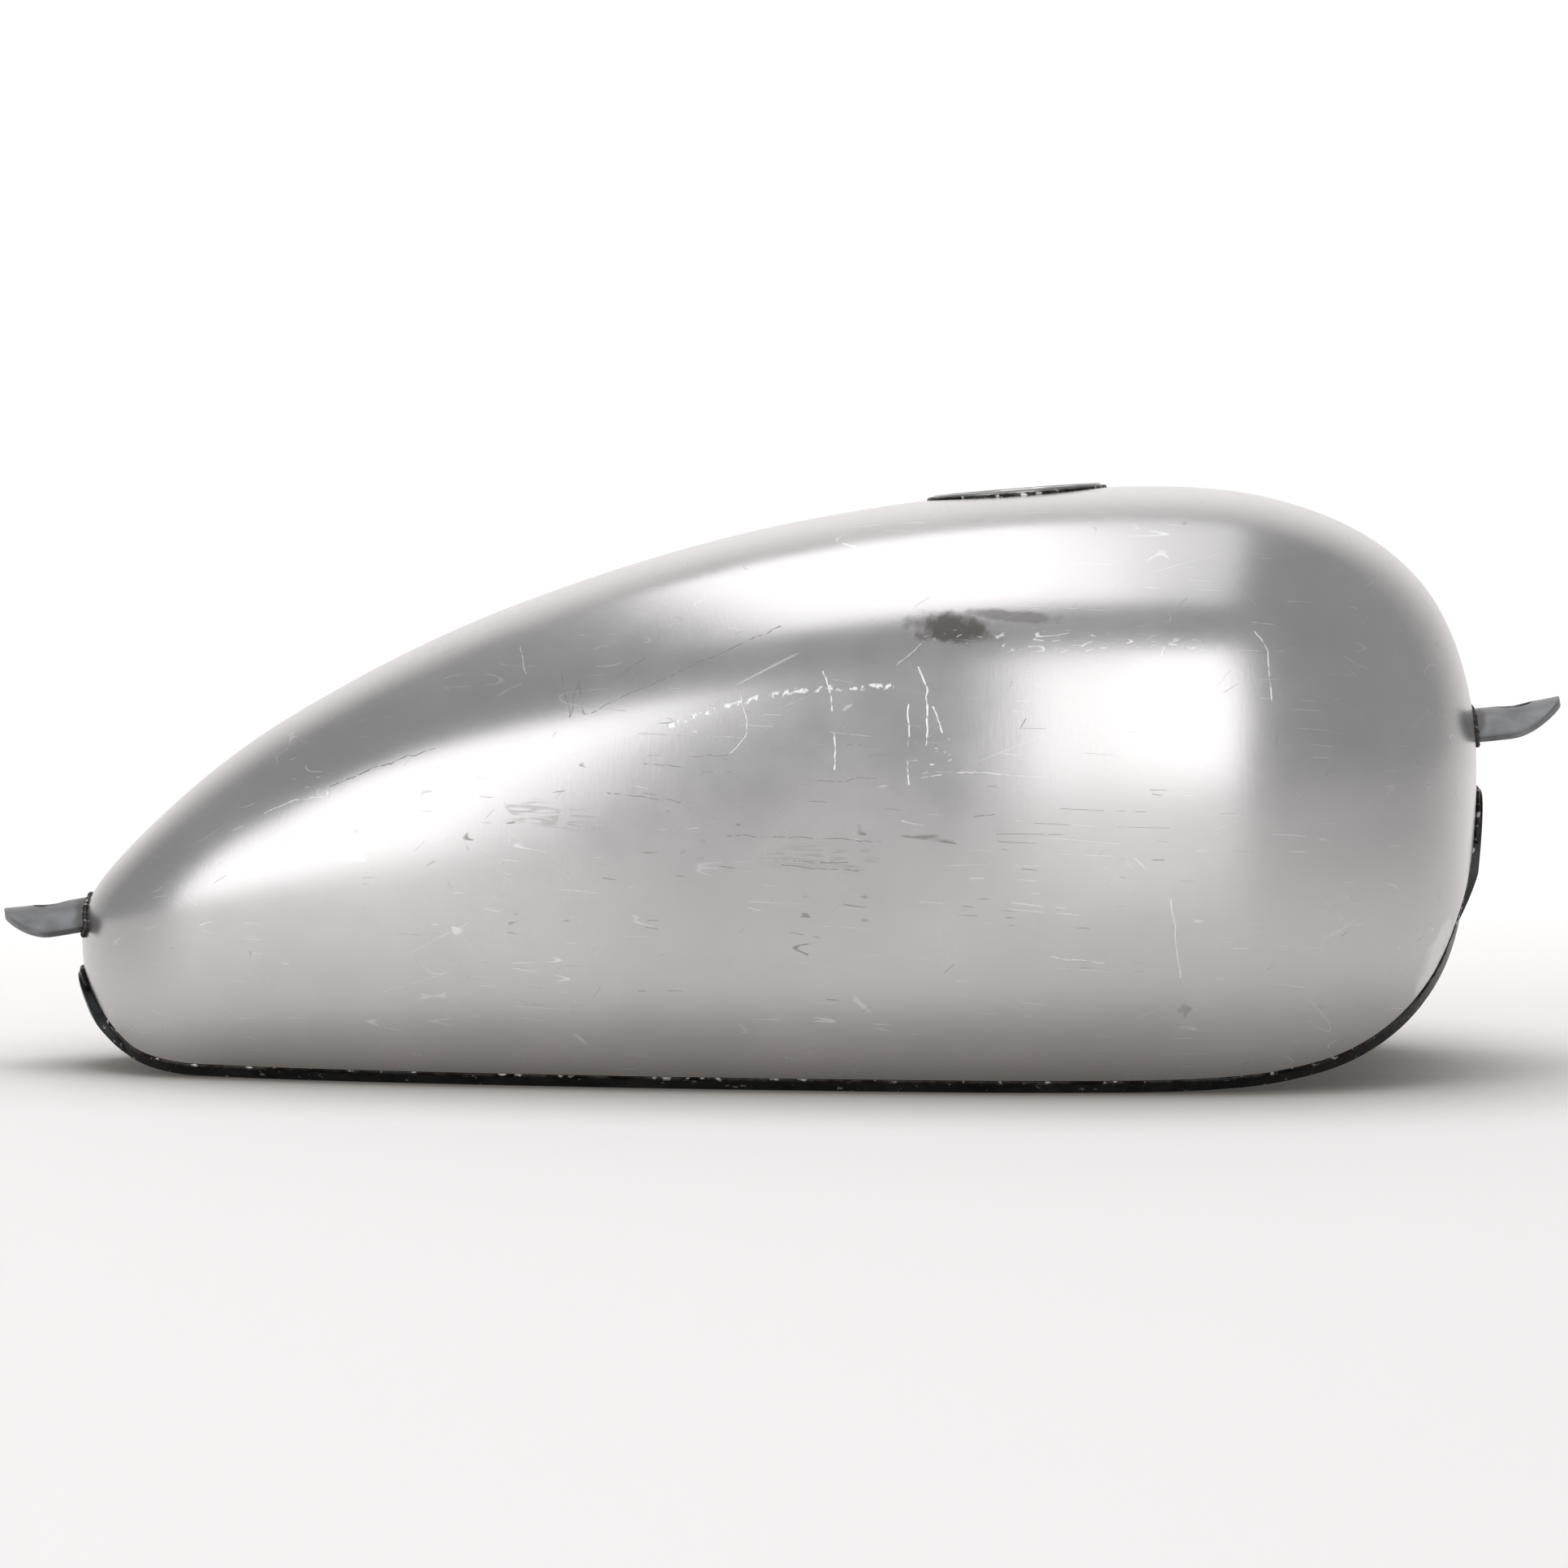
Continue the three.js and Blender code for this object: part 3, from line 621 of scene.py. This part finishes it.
ground_steel = ground_weld()
for name, low, high in (("crest_weld_front", FILLER.x, 300), ("crest_weld_rear", -300, FILLER.x)):
    strip = join(body_form(name + "_run", -WELD_SHY), body_form("hollow", -SKIN), "DIFFERENCE")
    join(strip, above_edge(-WELD_END), "INTERSECT")
    join(strip, tunnel_form(WELD_CLEAR), "DIFFERENCE")
    join(strip, at_filler(post("hole", 0, 0, FILLER_HOLE_R, -40, 40)), "DIFFERENCE")
    join(strip, slab("run", low, high, -SEAM_HALF + WELD_SHY, SEAM_HALF - WELD_SHY), "INTERSECT")
    finish_edges(strip)
    dress(strip, ground_steel, "bare_steel", "tank", name)


# Pan: the floor, the lip below the shells and the frame tunnel, pressed from one 1.8 mm sheet. Its
# mill scale is left on: near-black and half glossy, rubbed to bare metal in specks.
FLOOR_RISE, MOUTH_STAND, LIP_INSET = 1.2, 2.4, SKIN + GAP
PETCOCK, CROSSOVERS = (-120, 50, 14.0, 8.0), ((95, -60, 10.5, 5.9), (95, 60, 10.5, 5.9))


def mill_scale():
    material, tree, shader = new_material("mill_scale_sheet", "2B2B2C", 0.75, 0.4)
    place = add_node(tree, "ShaderNodeTexCoord").outputs["Object"]
    # The scale is mottled in spots 14 mm wide, and has flaked off in specks 1 to 2 mm wide.
    mottle = add_node(
        tree, "ShaderNodeTexNoise", {"Vector": place}, {"Scale": 70.0, "Detail": 5.0, "Roughness": 0.6})
    flake = add_node(tree, "ShaderNodeTexNoise", {"Vector": place}, {"Scale": 420.0, "Detail": 3.0})
    patches = add_node(
        tree, "ShaderNodeMapRange", {"Value": mottle.outputs["Fac"]}, {"From Min": 0.35, "From Max": 0.65})
    bare = add_node(
        tree, "ShaderNodeMapRange", {"Value": flake.outputs["Fac"]}, {"From Min": 0.66, "From Max": 0.72})
    colour = tinted(tree, "1D1D1F", patches.outputs["Result"], "3B3B3C")
    tree.links.new(tinted(tree, colour, bare.outputs["Result"], "A3A19E"), shader.inputs["Base Color"])
    tree.links.new(between(tree, 0.3, 0.5, mottle.outputs["Fac"]), shader.inputs["Roughness"])
    bump = add_node(
        tree, "ShaderNodeBump", {"Height": flake.outputs["Fac"]}, {"Strength": 0.2, "Distance": 0.0002})
    tree.links.new(bump.outputs["Normal"], shader.inputs["Normal"])
    return material


pan = join(body_form("tunnel_pan_pressing", -LIP_INSET), above_edge(LIP), "INTERSECT")
fuel_space = join(above_edge(-FLOOR_RISE - PAN_SHEET), tunnel_form(0), "DIFFERENCE")
join(pan, fuel_space, "DIFFERENCE")
under = join(body_form("inside_lip", -LIP_INSET - PAN_SHEET), above_edge(-FLOOR_RISE), "DIFFERENCE")
join(pan, under, "DIFFERENCE")
mouths = join(tunnel_form(0), body_form("stand", MOUTH_STAND), "INTERSECT")
join(mouths, above_edge(LIP), "INTERSECT")
join(mouths, body_form("inside_lip", -LIP_INSET - PAN_SHEET), "DIFFERENCE")
join(pan, mouths, "UNION")
join(pan, tunnel_form(-PAN_SHEET), "DIFFERENCE")
for x, y, r, bore in (PETCOCK, *CROSSOVERS):
    join(pan, post("hole", x, y, r + 0.1, -20, 40), "DIFFERENCE")
for vertex in pan.data.vertices:
    vertex.co.z = max(vertex.co.z, 0.0)
finish_edges(pan)
dress(pan, mill_scale(), "dark_steel", "tank", "tunnel_pan")


# Edge welds: a hand-laid bead down each side, where the shell's lower edge meets the pan's lip. It
# ripples at every dip of the rod, swells into lumps, and its heat has left it dark grey with a brown
# tinge and bright specks where the slag came off.
BEAD_DROP, BEAD_SINK, BEAD_CLEAR, BEAD_STEP = 1.25, 1.15, 1.4, 0.8
BEAD_REAR, BEAD_FRONT = -239, 238


def skin_at(x, z):
    """Point and outward normal of the right side's skin at a place below the belt."""
    u = math.acos(max(-1.0, min(1.0, (BODY_MIDDLE_X - x) / (BODY_LENGTH / 2)))) / math.pi
    width, belt, reach, power = section(u, False)
    s = -min(max((belt - z) / reach, 0.0), 1.0) ** (power / 2)
    turn = math.asin(s)
    here = skin_point(u, math.cos(turn), s)
    ahead = skin_point(min(u + 1e-3, 1), math.cos(turn), s) - here
    up = skin_point(u, math.cos(turn + 1e-3), math.sin(turn + 1e-3)) - here
    return here, up.cross(ahead).normalized()


def in_tunnel(p, clear):
    spring = (TUNNEL_TOP_FRONT + TUNNEL_TOP_REAR) / 2 - TUNNEL_HALF
    spring += (TUNNEL_TOP_FRONT - TUNNEL_TOP_REAR) / TUNNEL_SPAN * p.x
    return math.hypot(p.y, max(p.z - spring, 0)) < TUNNEL_HALF + clear


def spaced(points, step):
    """The same line with points a step apart."""
    line, left = [points[0].copy()], step
    for a, b in zip(points, points[1:]):
        run = (b - a).length
        while run > 0 and left <= run:
            line.append(a.lerp(b, left / run))
            left += step
        left -= run
    return line


def weld_bead(name, points, radius, closed=False, lumps=0.3, ripple=2.2, seed=1.0):
    """A round cord along points (mm) whose thickness ripples and wanders as a hand-laid bead's does."""
    curve = bpy.data.curves.new(name, "CURVE")
    curve.dimensions = "3D"
    curve.bevel_depth, curve.bevel_resolution, curve.use_fill_caps = MM, 2, not closed
    path = spaced(points, BEAD_STEP)
    spline = curve.splines.new("POLY")
    spline.points.add(len(path) - 1)
    spline.use_cyclic_u = closed
    for i, (spot, p) in enumerate(zip(spline.points, path)):
        wander = noise.noise(p * 0.13 + Vector((seed, 0, 0))) * 0.6
        wander += noise.noise(p * 0.6 + Vector((0, seed, 0)))
        spot.co = (*(p * MM), 1)
        wave = abs(math.sin(math.pi * i * BEAD_STEP / ripple))
        spot.radius = radius * (0.86 + 0.14 * wave + lumps * wander)
    cord = bpy.data.objects.new(name, curve)
    bpy.context.collection.objects.link(cord)
    deselect()
    cord.select_set(True)
    bpy.context.view_layer.objects.active = cord
    bpy.ops.object.convert(target="MESH")
    bead = bpy.context.object
    for vertex in bead.data.vertices:
        p = vertex.co / MM
        vertex.co += vertex.normal * noise.noise(p * 0.9 + Vector((0, 0, seed))) * radius * 0.16 * MM
    finish_edges(bead, 70)
    return bead


def as_welded():
    material, tree, shader = new_material("as_welded_bead", "4C4946", 1.0, 0.45)
    place = add_node(tree, "ShaderNodeTexCoord").outputs["Object"]
    # The heat tint changes about every 9 mm; the bare specks are 1 to 3 mm wide.
    heat = add_node(tree, "ShaderNodeTexNoise", {"Vector": place}, {"Scale": 110.0, "Detail": 3.0})
    glint = add_node(tree, "ShaderNodeTexNoise", {"Vector": place}, {"Scale": 300.0, "Detail": 2.0})
    ramp = add_node(tree, "ShaderNodeValToRGB", {"Fac": heat.outputs["Fac"]})
    stops = ramp.color_ramp.elements
    stops[0].position, stops[0].color = 0.32, srgb("1A1A1A")
    stops[1].position, stops[1].color = 0.72, srgb("3B424C")
    for position, code in ((0.44, "2E2723"), (0.54, "484543"), (0.63, "363636")):
        stops.new(position).color = srgb(code)
    bare = add_node(
        tree, "ShaderNodeMapRange", {"Value": glint.outputs["Fac"]}, {"From Min": 0.61, "From Max": 0.7})
    colour = tinted(tree, ramp.outputs["Color"], bare.outputs["Result"], "C4C3C1")
    tree.links.new(colour, shader.inputs["Base Color"])
    tree.links.new(between(tree, 0.58, 0.3, glint.outputs["Fac"]), shader.inputs["Roughness"])
    bump = add_node(
        tree, "ShaderNodeBump", {"Height": glint.outputs["Fac"]}, {"Strength": 0.5, "Distance": 0.0004})
    tree.links.new(bump.outputs["Normal"], shader.inputs["Normal"])
    return material


welded_steel = as_welded()
for side, name in ((-1, "edge_weld_right"), (1, "edge_weld_left")):
    line = []
    for p, way in zip(*edge_curve(12)):
        x, z = p.x + way.y * BEAD_DROP, p.y - way.x * BEAD_DROP
        if BEAD_REAR < x < BEAD_FRONT:
            here, out = skin_at(x, z)
            spot = here - out * BEAD_SINK
            spot.y = side * abs(spot.y)
            if not in_tunnel(spot, BEAD_CLEAR):
                line.append(spot)
    dress(weld_bead(name + "_bead", line, 0.98, seed=3.0 + side), welded_steel, "weld", "tank", name)


# Mouth welds: the bead that closes the shells onto the frame tunnel at the nose and at the tail,
# of the same steel rod as the edge welds. It follows the tunnel's arch on the curve of the skin.
def end_x(y, z, end):
    """Where the skin's nose (end 1) or tail (end -1) stands at a height and distance off centre."""
    low, high = 120.0, BODY_LENGTH / 2
    for _ in range(40):
        middle = (low + high) / 2
        u = math.acos(-end * middle / (BODY_LENGTH / 2)) / math.pi
        width, belt, reach, power = section(u, z > through(BELT_Z, u))
        inside = (abs(y) / max(width, 1e-6)) ** power + (abs(z - belt) / max(reach, 1e-6)) ** power < 1
        low, high = (middle, high) if inside else (low, middle)
    return end * low + BODY_MIDDLE_X


for name, end, lowest in (("mouth_weld_front", 1, 79.0), ("mouth_weld_rear", -1, 28.5)):
    top = TUNNEL_TOP_FRONT if end > 0 else TUNNEL_TOP_REAR
    r, spring = TUNNEL_HALF + 0.95, top - TUNNEL_HALF
    start = math.asin((lowest - spring) / r)
    arch = [start + (math.pi - 2 * start) * k / 60 for k in range(61)]
    line = [Vector((0, r * math.cos(a), spring + r * math.sin(a))) for a in arch]
    for p in line:
        p.x = end_x(p.y, p.z, end) + end * 0.75
    dress(weld_bead(name + "_bead", line, 0.8, seed=7.0 + end), welded_steel, "weld", "tank", name)


# Mounting tabs: an arched tongue of 3 mm hot-rolled plate at the nose and another, lower, at the
# tail. The free end is rounded in plan, holed for the mounting bolt, and its edges are dressed off.
# The plate is a mottled blue-grey, duller than the sheet, and browned where it was welded.
TAB_HALF, TAB_ARCH_R, TAB_PLATE, TAB_CORNER, TAB_HOLE_R, TAB_HOLE_X = 19.0, 24.7, 3.0, 18.0, 6.35, 254.0
# Each: which end of the tank, root and tip along it, height of the top, slope, and upward curl.
FRONT_TAB, REAR_TAB = (1, 239.7, 269.3, 123.8, 0.077, 0.00236), (-1, 241.5, 270.0, 58.3, -0.187, 0.0018)


def hot_rolled_plate():
    material, tree, shader = new_material("hot_rolled_plate", "77787A", 0.9, 0.42)
    place = add_node(tree, "ShaderNodeTexCoord").outputs["Object"]
    # Spots left by the rolls are 8 mm wide; the plate's pores, really 0.2 mm, are drawn at 1.4 mm.
    mottle = add_node(tree, "ShaderNodeTexNoise", {"Vector": place}, {"Scale": 120.0, "Detail": 5.0})
    pores = add_node(tree, "ShaderNodeTexNoise", {"Vector": place}, {"Scale": 700.0, "Detail": 2.0})
    burnt = most(
        tree, patch(tree, place, (239.5, 0, 119), (5, 40, 14), 0.8),
        patch(tree, place, (-241.5, 0, 53), (5, 40, 14), 0.8))
    colour = tinted(tree, "4F5052", mottle.outputs["Fac"], "98999B")
    colour = tinted(tree, colour, only(tree, burnt, burnt, 0.6), "453D38")
    tree.links.new(colour, shader.inputs["Base Color"])
    tree.links.new(between(tree, 0.34, 0.52, mottle.outputs["Fac"]), shader.inputs["Roughness"])
    bump = add_node(
        tree, "ShaderNodeBump", {"Height": pores.outputs["Fac"]}, {"Strength": 0.3, "Distance": 0.00015})
    tree.links.new(bump.outputs["Normal"], shader.inputs["Normal"])
    return material


def use_modifier(piece, kind, **settings):
    deselect()
    bpy.context.view_layer.objects.active = piece
    step = piece.modifiers.new("step", kind)
    for key, value in settings.items():
        setattr(step, key, value)
    bpy.ops.object.modifier_apply(modifier="step")


def mounting_tab(name, end, root, tip, top, slope, curl):
    """A flat grid bent to the arch, rounded at its tip, given its plate thickness and its hole."""
    deselect()
    bpy.ops.mesh.primitive_grid_add(x_subdivisions=44, y_subdivisions=28, size=2)
    tab = bpy.context.object
    tab.name = name
    start = root - 1.0
    for vertex in tab.data.vertices:
        share, turn = (vertex.co.x + 1) / 2, vertex.co.y
        x = start + (tip - start) * math.sin(share * math.pi / 2)
        inset = max(x - (tip - TAB_CORNER), 0) / TAB_CORNER
        half = TAB_HALF - TAB_CORNER + TAB_CORNER * math.sqrt(max(1 - inset ** 2, 0))
        angle = math.asin(half / TAB_ARCH_R) * turn
        s = x - root
        z = top + slope * s + curl * max(s, 0) ** 2 - TAB_ARCH_R * (1 - math.cos(angle))
        vertex.co = Vector((end * x, end * TAB_ARCH_R * math.sin(angle), z)) * MM
    use_modifier(tab, "SOLIDIFY", thickness=TAB_PLATE * MM, offset=-1.0, use_even_offset=True)
    join(tab, post("bolt_hole", end * TAB_HOLE_X, 0, TAB_HOLE_R, top - 40, top + 40, 64), "DIFFERENCE")
    use_modifier(
        tab, "BEVEL", width=0.45 * MM, segments=2, limit_method="ANGLE", angle_limit=math.radians(50))
    finish_edges(tab)
    return tab


plate_steel = hot_rolled_plate()
for name, tab in (("front_tab", FRONT_TAB), ("rear_tab", REAR_TAB)):
    dress(mounting_tab(name + "_tongue", *tab), plate_steel, "tab_steel", "tank", name)


# Tab welds: a thick uneven bead of steel rod right round each tongue's root, over its top and back
# below it, dark from the heat.
for name, (end, root, tip, top, *_) in (("front_tab_weld", FRONT_TAB), ("rear_tab_weld", REAR_TAB)):
    half = math.asin(TAB_HALF / TAB_ARCH_R) + 0.03
    angles = [half * (1 - 2 * k / 40) for k in range(41)]
    line = [Vector((0, r * math.sin(a * turn), top - TAB_ARCH_R + r * math.cos(a)))
            for r, turn in ((TAB_ARCH_R + 0.6, 1), (TAB_ARCH_R - TAB_PLATE - 0.7, -1)) for a in angles]
    for p in line:
        p.x = end_x(p.y, p.z, end) + end * 0.45
    bead = weld_bead(name + "_bead", [*line, line[0]], 1.05, True, 0.5, 2.6, 11.0 + end)
    dress(bead, welded_steel, "weld", "tank", name)


# Filler bung: a ring turned from steel bar and let into the crest, with a recessed seat for the
# cap and a thread below it. Its chamfered rim stands just proud of the skin.
BUNG_R, BUNG_DEPTH, SEAT_R, SEAT_Z, THREAD_R = 29.0, 16.0, 25.6, -8.5, 21.5


def turned_metal(name, colour, roughness, centre=(0, 0, 0), tilt=0.0):
    """Lathe-cut metal, bright and lightly stained in spots.

    Its rings of tool marks, really 0.1 mm apart, are drawn at 0.5 mm.
    """
    material, tree, shader = new_material(name, colour, 1.0, roughness)
    place = add_node(tree, "ShaderNodeTexCoord").outputs["Object"]
    moved = add_node(tree, "ShaderNodeVectorMath", {0: place}, operation="SUBTRACT")
    moved.inputs[1].default_value = [v * MM for v in centre]
    bent = add_node(tree, "ShaderNodeMapping", {"Vector": moved.outputs[0]}, vector_type="POINT")
    bent.inputs["Rotation"].default_value = (0, tilt, 0)
    rings = add_node(
        tree, "ShaderNodeTexWave", {"Vector": bent.outputs[0]},
        {"Scale": 628.0, "Distortion": 0.3, "Detail": 1.0}, wave_type="RINGS", rings_direction="Z")
    stain = add_node(tree, "ShaderNodeTexNoise", {"Vector": place}, {"Scale": 130.0, "Detail": 4.0})
    satin = between(tree, roughness - 0.05, roughness + 0.1, stain.outputs["Fac"])
    tree.links.new(satin, shader.inputs["Roughness"])
    dull = add_node(
        tree, "ShaderNodeMapRange", {"Value": stain.outputs["Fac"]},
        {"From Min": 0.5, "From Max": 0.8}).outputs["Result"]
    stained = tinted(tree, colour, only(tree, dull, dull, 0.5), "6B6966")
    tree.links.new(stained, shader.inputs["Base Color"])
    bump = add_node(
        tree, "ShaderNodeBump", {"Height": rings.outputs["Fac"]}, {"Strength": 0.18, "Distance": 0.00006})
    tree.links.new(bump.outputs["Normal"], shader.inputs["Normal"])
    return material


def turned(name, outline, steps=96, closed=True):
    """A (radius, height) outline spun round Z; an open one starts and ends on the axis."""
    last = len(outline) if closed else len(outline) - 1
    mesh = bpy.data.meshes.new(name)
    mesh.from_pydata(
        [Vector((r, 0, z)) * MM for r, z in outline], [(k, (k + 1) % len(outline)) for k in range(last)], [])
    piece = bpy.data.objects.new(name, mesh)
    bpy.context.collection.objects.link(piece)
    deselect()
    piece.select_set(True)
    bpy.context.view_layer.objects.active = piece
    bpy.ops.object.mode_set(mode="EDIT")
    bpy.ops.mesh.select_all(action="SELECT")
    bpy.ops.mesh.spin(steps=steps, angle=2 * math.pi, center=(0, 0, 0), axis=(0, 0, 1))
    bpy.ops.mesh.select_all(action="SELECT")
    bpy.ops.mesh.remove_doubles(threshold=1e-6)
    bpy.ops.mesh.dissolve_degenerate(threshold=1e-7)
    bpy.ops.mesh.normals_make_consistent(inside=False)
    bpy.ops.object.mode_set(mode="OBJECT")
    return piece


def thread(radius, depth, pitch, low, high):
    """Outline points of V grooves, top to bottom; a positive depth cuts away from the axis."""
    points, z = [], high
    while z - pitch > low:
        points += [(radius, z), (radius + depth, z - pitch / 2)]
        z -= pitch
    return [*points, (radius, z)]


bung_steel = turned_metal("turned_steel", "A5A4A2", 0.27, FILLER, FILLER_RISE)
bung_outline = [
    (BUNG_R, -BUNG_DEPTH + 0.5), (BUNG_R, -0.7), (BUNG_R - 0.25, -0.2), (BUNG_R - 0.8, 0), (SEAT_R + 0.7, 0),
    (SEAT_R + 0.2, -0.2), (SEAT_R, -0.7), (SEAT_R, SEAT_Z), (THREAD_R + 0.7, SEAT_Z),
    *thread(THREAD_R, 0.75, 1.5, -15.6, SEAT_Z - 0.7), (THREAD_R + 0.5, -BUNG_DEPTH),
    (BUNG_R - 0.5, -BUNG_DEPTH)]
bung = at_filler(turned("filler_bung_ring", bung_outline, 160))
finish_edges(bung, 25)
dress(bung, bung_steel, "machined_steel", "tank", "filler_bung")


# Filler weld: a neat fillet of steel rod that runs right round the bung, in the corner it makes
# with the skin, and shows as a thin dark rim.
def crest_at(x, y):
    u = math.acos((BODY_MIDDLE_X - x) / (BODY_LENGTH / 2)) / math.pi
    width, belt, reach, power = section(u, True)
    return belt + reach * (1 - min(abs(y) / width, 1) ** power) ** (1 / power)


FILLET_R, FILLET_POINTS = 30.2, 180
ring_line = []
for k in range(FILLET_POINTS + 1):
    a = 2 * math.pi * k / FILLET_POINTS
    x, y = FILLER.x + FILLET_R * math.cos(a), FILLET_R * math.sin(a)
    ring_line.append(Vector((x, y, crest_at(x, y) + 0.05)))
ring_bead = weld_bead("filler_weld_bead", ring_line, 0.85, True, 0.2, 2.4, 21.0)
dress(ring_bead, welded_steel, "weld", "tank", "filler_weld")


# Filler cap: turned aluminium, screwed down flush with the ring. Two finger pockets milled into its
# top leave a bar across it to turn it by; the hollow stub below carries the thread and the vent.
CAP_R, CAP_TOP, CAP_HEAD, STUB_R, GRIP_BAR, GRIP_DEPTH, VENT_R = 25.2, -0.3, 6.0, 21.0, 10.0, 4.0, 5.0
cap_outline = [
    (0, CAP_TOP), (18, CAP_TOP), (22.2, CAP_TOP), (22.4, CAP_TOP - 0.25), (22.9, CAP_TOP - 0.25),
    (23.1, CAP_TOP), (CAP_R - 0.6, CAP_TOP), (CAP_R - 0.15, CAP_TOP - 0.2), (CAP_R, CAP_TOP - 0.6),
    (CAP_R, CAP_TOP - CAP_HEAD + 0.4), (CAP_R - 0.4, CAP_TOP - CAP_HEAD), (STUB_R - 0.9, CAP_TOP - CAP_HEAD),
    *thread(STUB_R, -0.7, 1.5, -14.8, CAP_TOP - CAP_HEAD - 1.4), (STUB_R - 0.6, -15.2), (STUB_R - 5, -15.2),
    (STUB_R - 5, -7.8), (8, -7.8), (8, -12), (VENT_R + 0.3, -12), (VENT_R + 0.3, -8.2), (0, -8.2)]
cap = turned("filler_cap_screwed", cap_outline, 160, closed=False)
pockets = post("pockets", 0, 0, 20.6, CAP_TOP - GRIP_DEPTH, 6, 128)
bar = [(-GRIP_BAR / 2, -20), (GRIP_BAR / 2, -20), (GRIP_BAR / 2, 20), (-GRIP_BAR / 2, 20)]
join(pockets, prism("bar", bar, -60, 60, "Y"), "DIFFERENCE")
join(cap, pockets, "DIFFERENCE")
use_modifier(cap, "BEVEL", width=0.22 * MM, segments=2, limit_method="ANGLE", angle_limit=math.radians(55))
at_filler(cap)
finish_edges(cap, 25)
cap_metal = turned_metal("turned_aluminium", "D2D3D4", 0.25, FILLER, FILLER_RISE)
dress(cap, cap_metal, "turned_aluminium", "cap", "filler_cap")


# O-ring: a moulded nitrile ring under the cap's head, which it seals against the bung's seat. The
# rubber is black and dull, with a fine flash line round its middle from the mould.
def nitrile_rubber():
    material, tree, shader = new_material("moulded_nitrile_rubber", "161617", 0.0, 0.6)
    place = add_node(tree, "ShaderNodeTexCoord").outputs["Object"]
    # The mould's grain, really 0.05 mm, is drawn at 1.1 mm.
    skin = add_node(tree, "ShaderNodeTexNoise", {"Vector": place}, {"Scale": 900.0, "Detail": 2.0})
    tree.links.new(between(tree, 0.5, 0.72, skin.outputs["Fac"]), shader.inputs["Roughness"])
    bump = add_node(
        tree, "ShaderNodeBump", {"Height": skin.outputs["Fac"]}, {"Strength": 0.3, "Distance": 0.0001})
    tree.links.new(bump.outputs["Normal"], shader.inputs["Normal"])
    return material


O_RING_R, WIRE = 23.2, 0.8
RING_Z, RING_SIDES = (CAP_TOP - CAP_HEAD + SEAT_Z) / 2, 20
turns = [2 * math.pi * (k + 0.5) / RING_SIDES for k in range(RING_SIDES)]
wire_outline = [(O_RING_R + WIRE * math.cos(a), RING_Z + WIRE * math.sin(a)) for a in turns]
wire_outline.insert(0, (O_RING_R + WIRE, RING_Z))
seal = turned("cap_seal_ring", wire_outline, 128)
at_filler(seal)
finish_edges(seal, 60)
dress(seal, nitrile_rubber(), "rubber", "cap_seal", "cap_o_ring")


# Vent valve: a small turned brass plug pressed into the boss under the cap, with its breathing
# hole on the axis. It is yellow and bright, as it is never handled.
vent_outline = [(1.2, -8.5), (VENT_R - 0.3, -8.5), (VENT_R, -8.8), (VENT_R, -12.0), (VENT_R - 1.0, -12.2),
                (VENT_R - 1.4, -12.8), (1.6, -12.8), (1.2, -12.4)]
vent = at_filler(turned("cap_vent_plug", vent_outline, 64))
finish_edges(vent, 25)
brass = turned_metal("turned_brass", "B7924F", 0.28, FILLER, FILLER_RISE)
dress(vent, brass, "brass", "cap", "cap_vent_valve")


# Floor bungs: turned steel sockets let into the pan, one at the rear left for the petcock and one
# each side at the front for the hose that joins the two lobes. Each has a thread and a fillet weld.
for name, weld, (x, y, r, bore) in (
        ("petcock_bung", "petcock_bung_weld", PETCOCK),
        ("crossover_bung_right", "crossover_weld_right", CROSSOVERS[0]),
        ("crossover_bung_left", "crossover_weld_left", CROSSOVERS[1])):
    outline = [
        (r, 2.8), (r, 13.4), (r - 0.6, 14), (bore + 0.8, 14), *thread(bore, 0.7, 1.4, 2.8, 13.2),
        (bore + 0.8, 2), (r - 0.8, 2)]
    socket = turned(name + "_socket", outline, 96)
    socket.data.transform(Matrix.Translation((x * MM, y * MM, 0)))
    finish_edges(socket, 25)
    socket_steel = turned_metal(name + "_turned_steel", "9B9A98", 0.3, (x, y, 0))
    dress(socket, socket_steel, "machined_steel", "tank", name)
    circle = [2 * math.pi * k / 72 for k in range(73)]
    line = [Vector((x + (r + 1.1) * math.cos(a), y + (r + 1.1) * math.sin(a), 4.8)) for a in circle]
    bead = weld_bead(weld + "_bead", line, 1.05, True, 0.15, 2.0, 31.0 + x)
    dress(bead, welded_steel, "weld", "tank", weld)
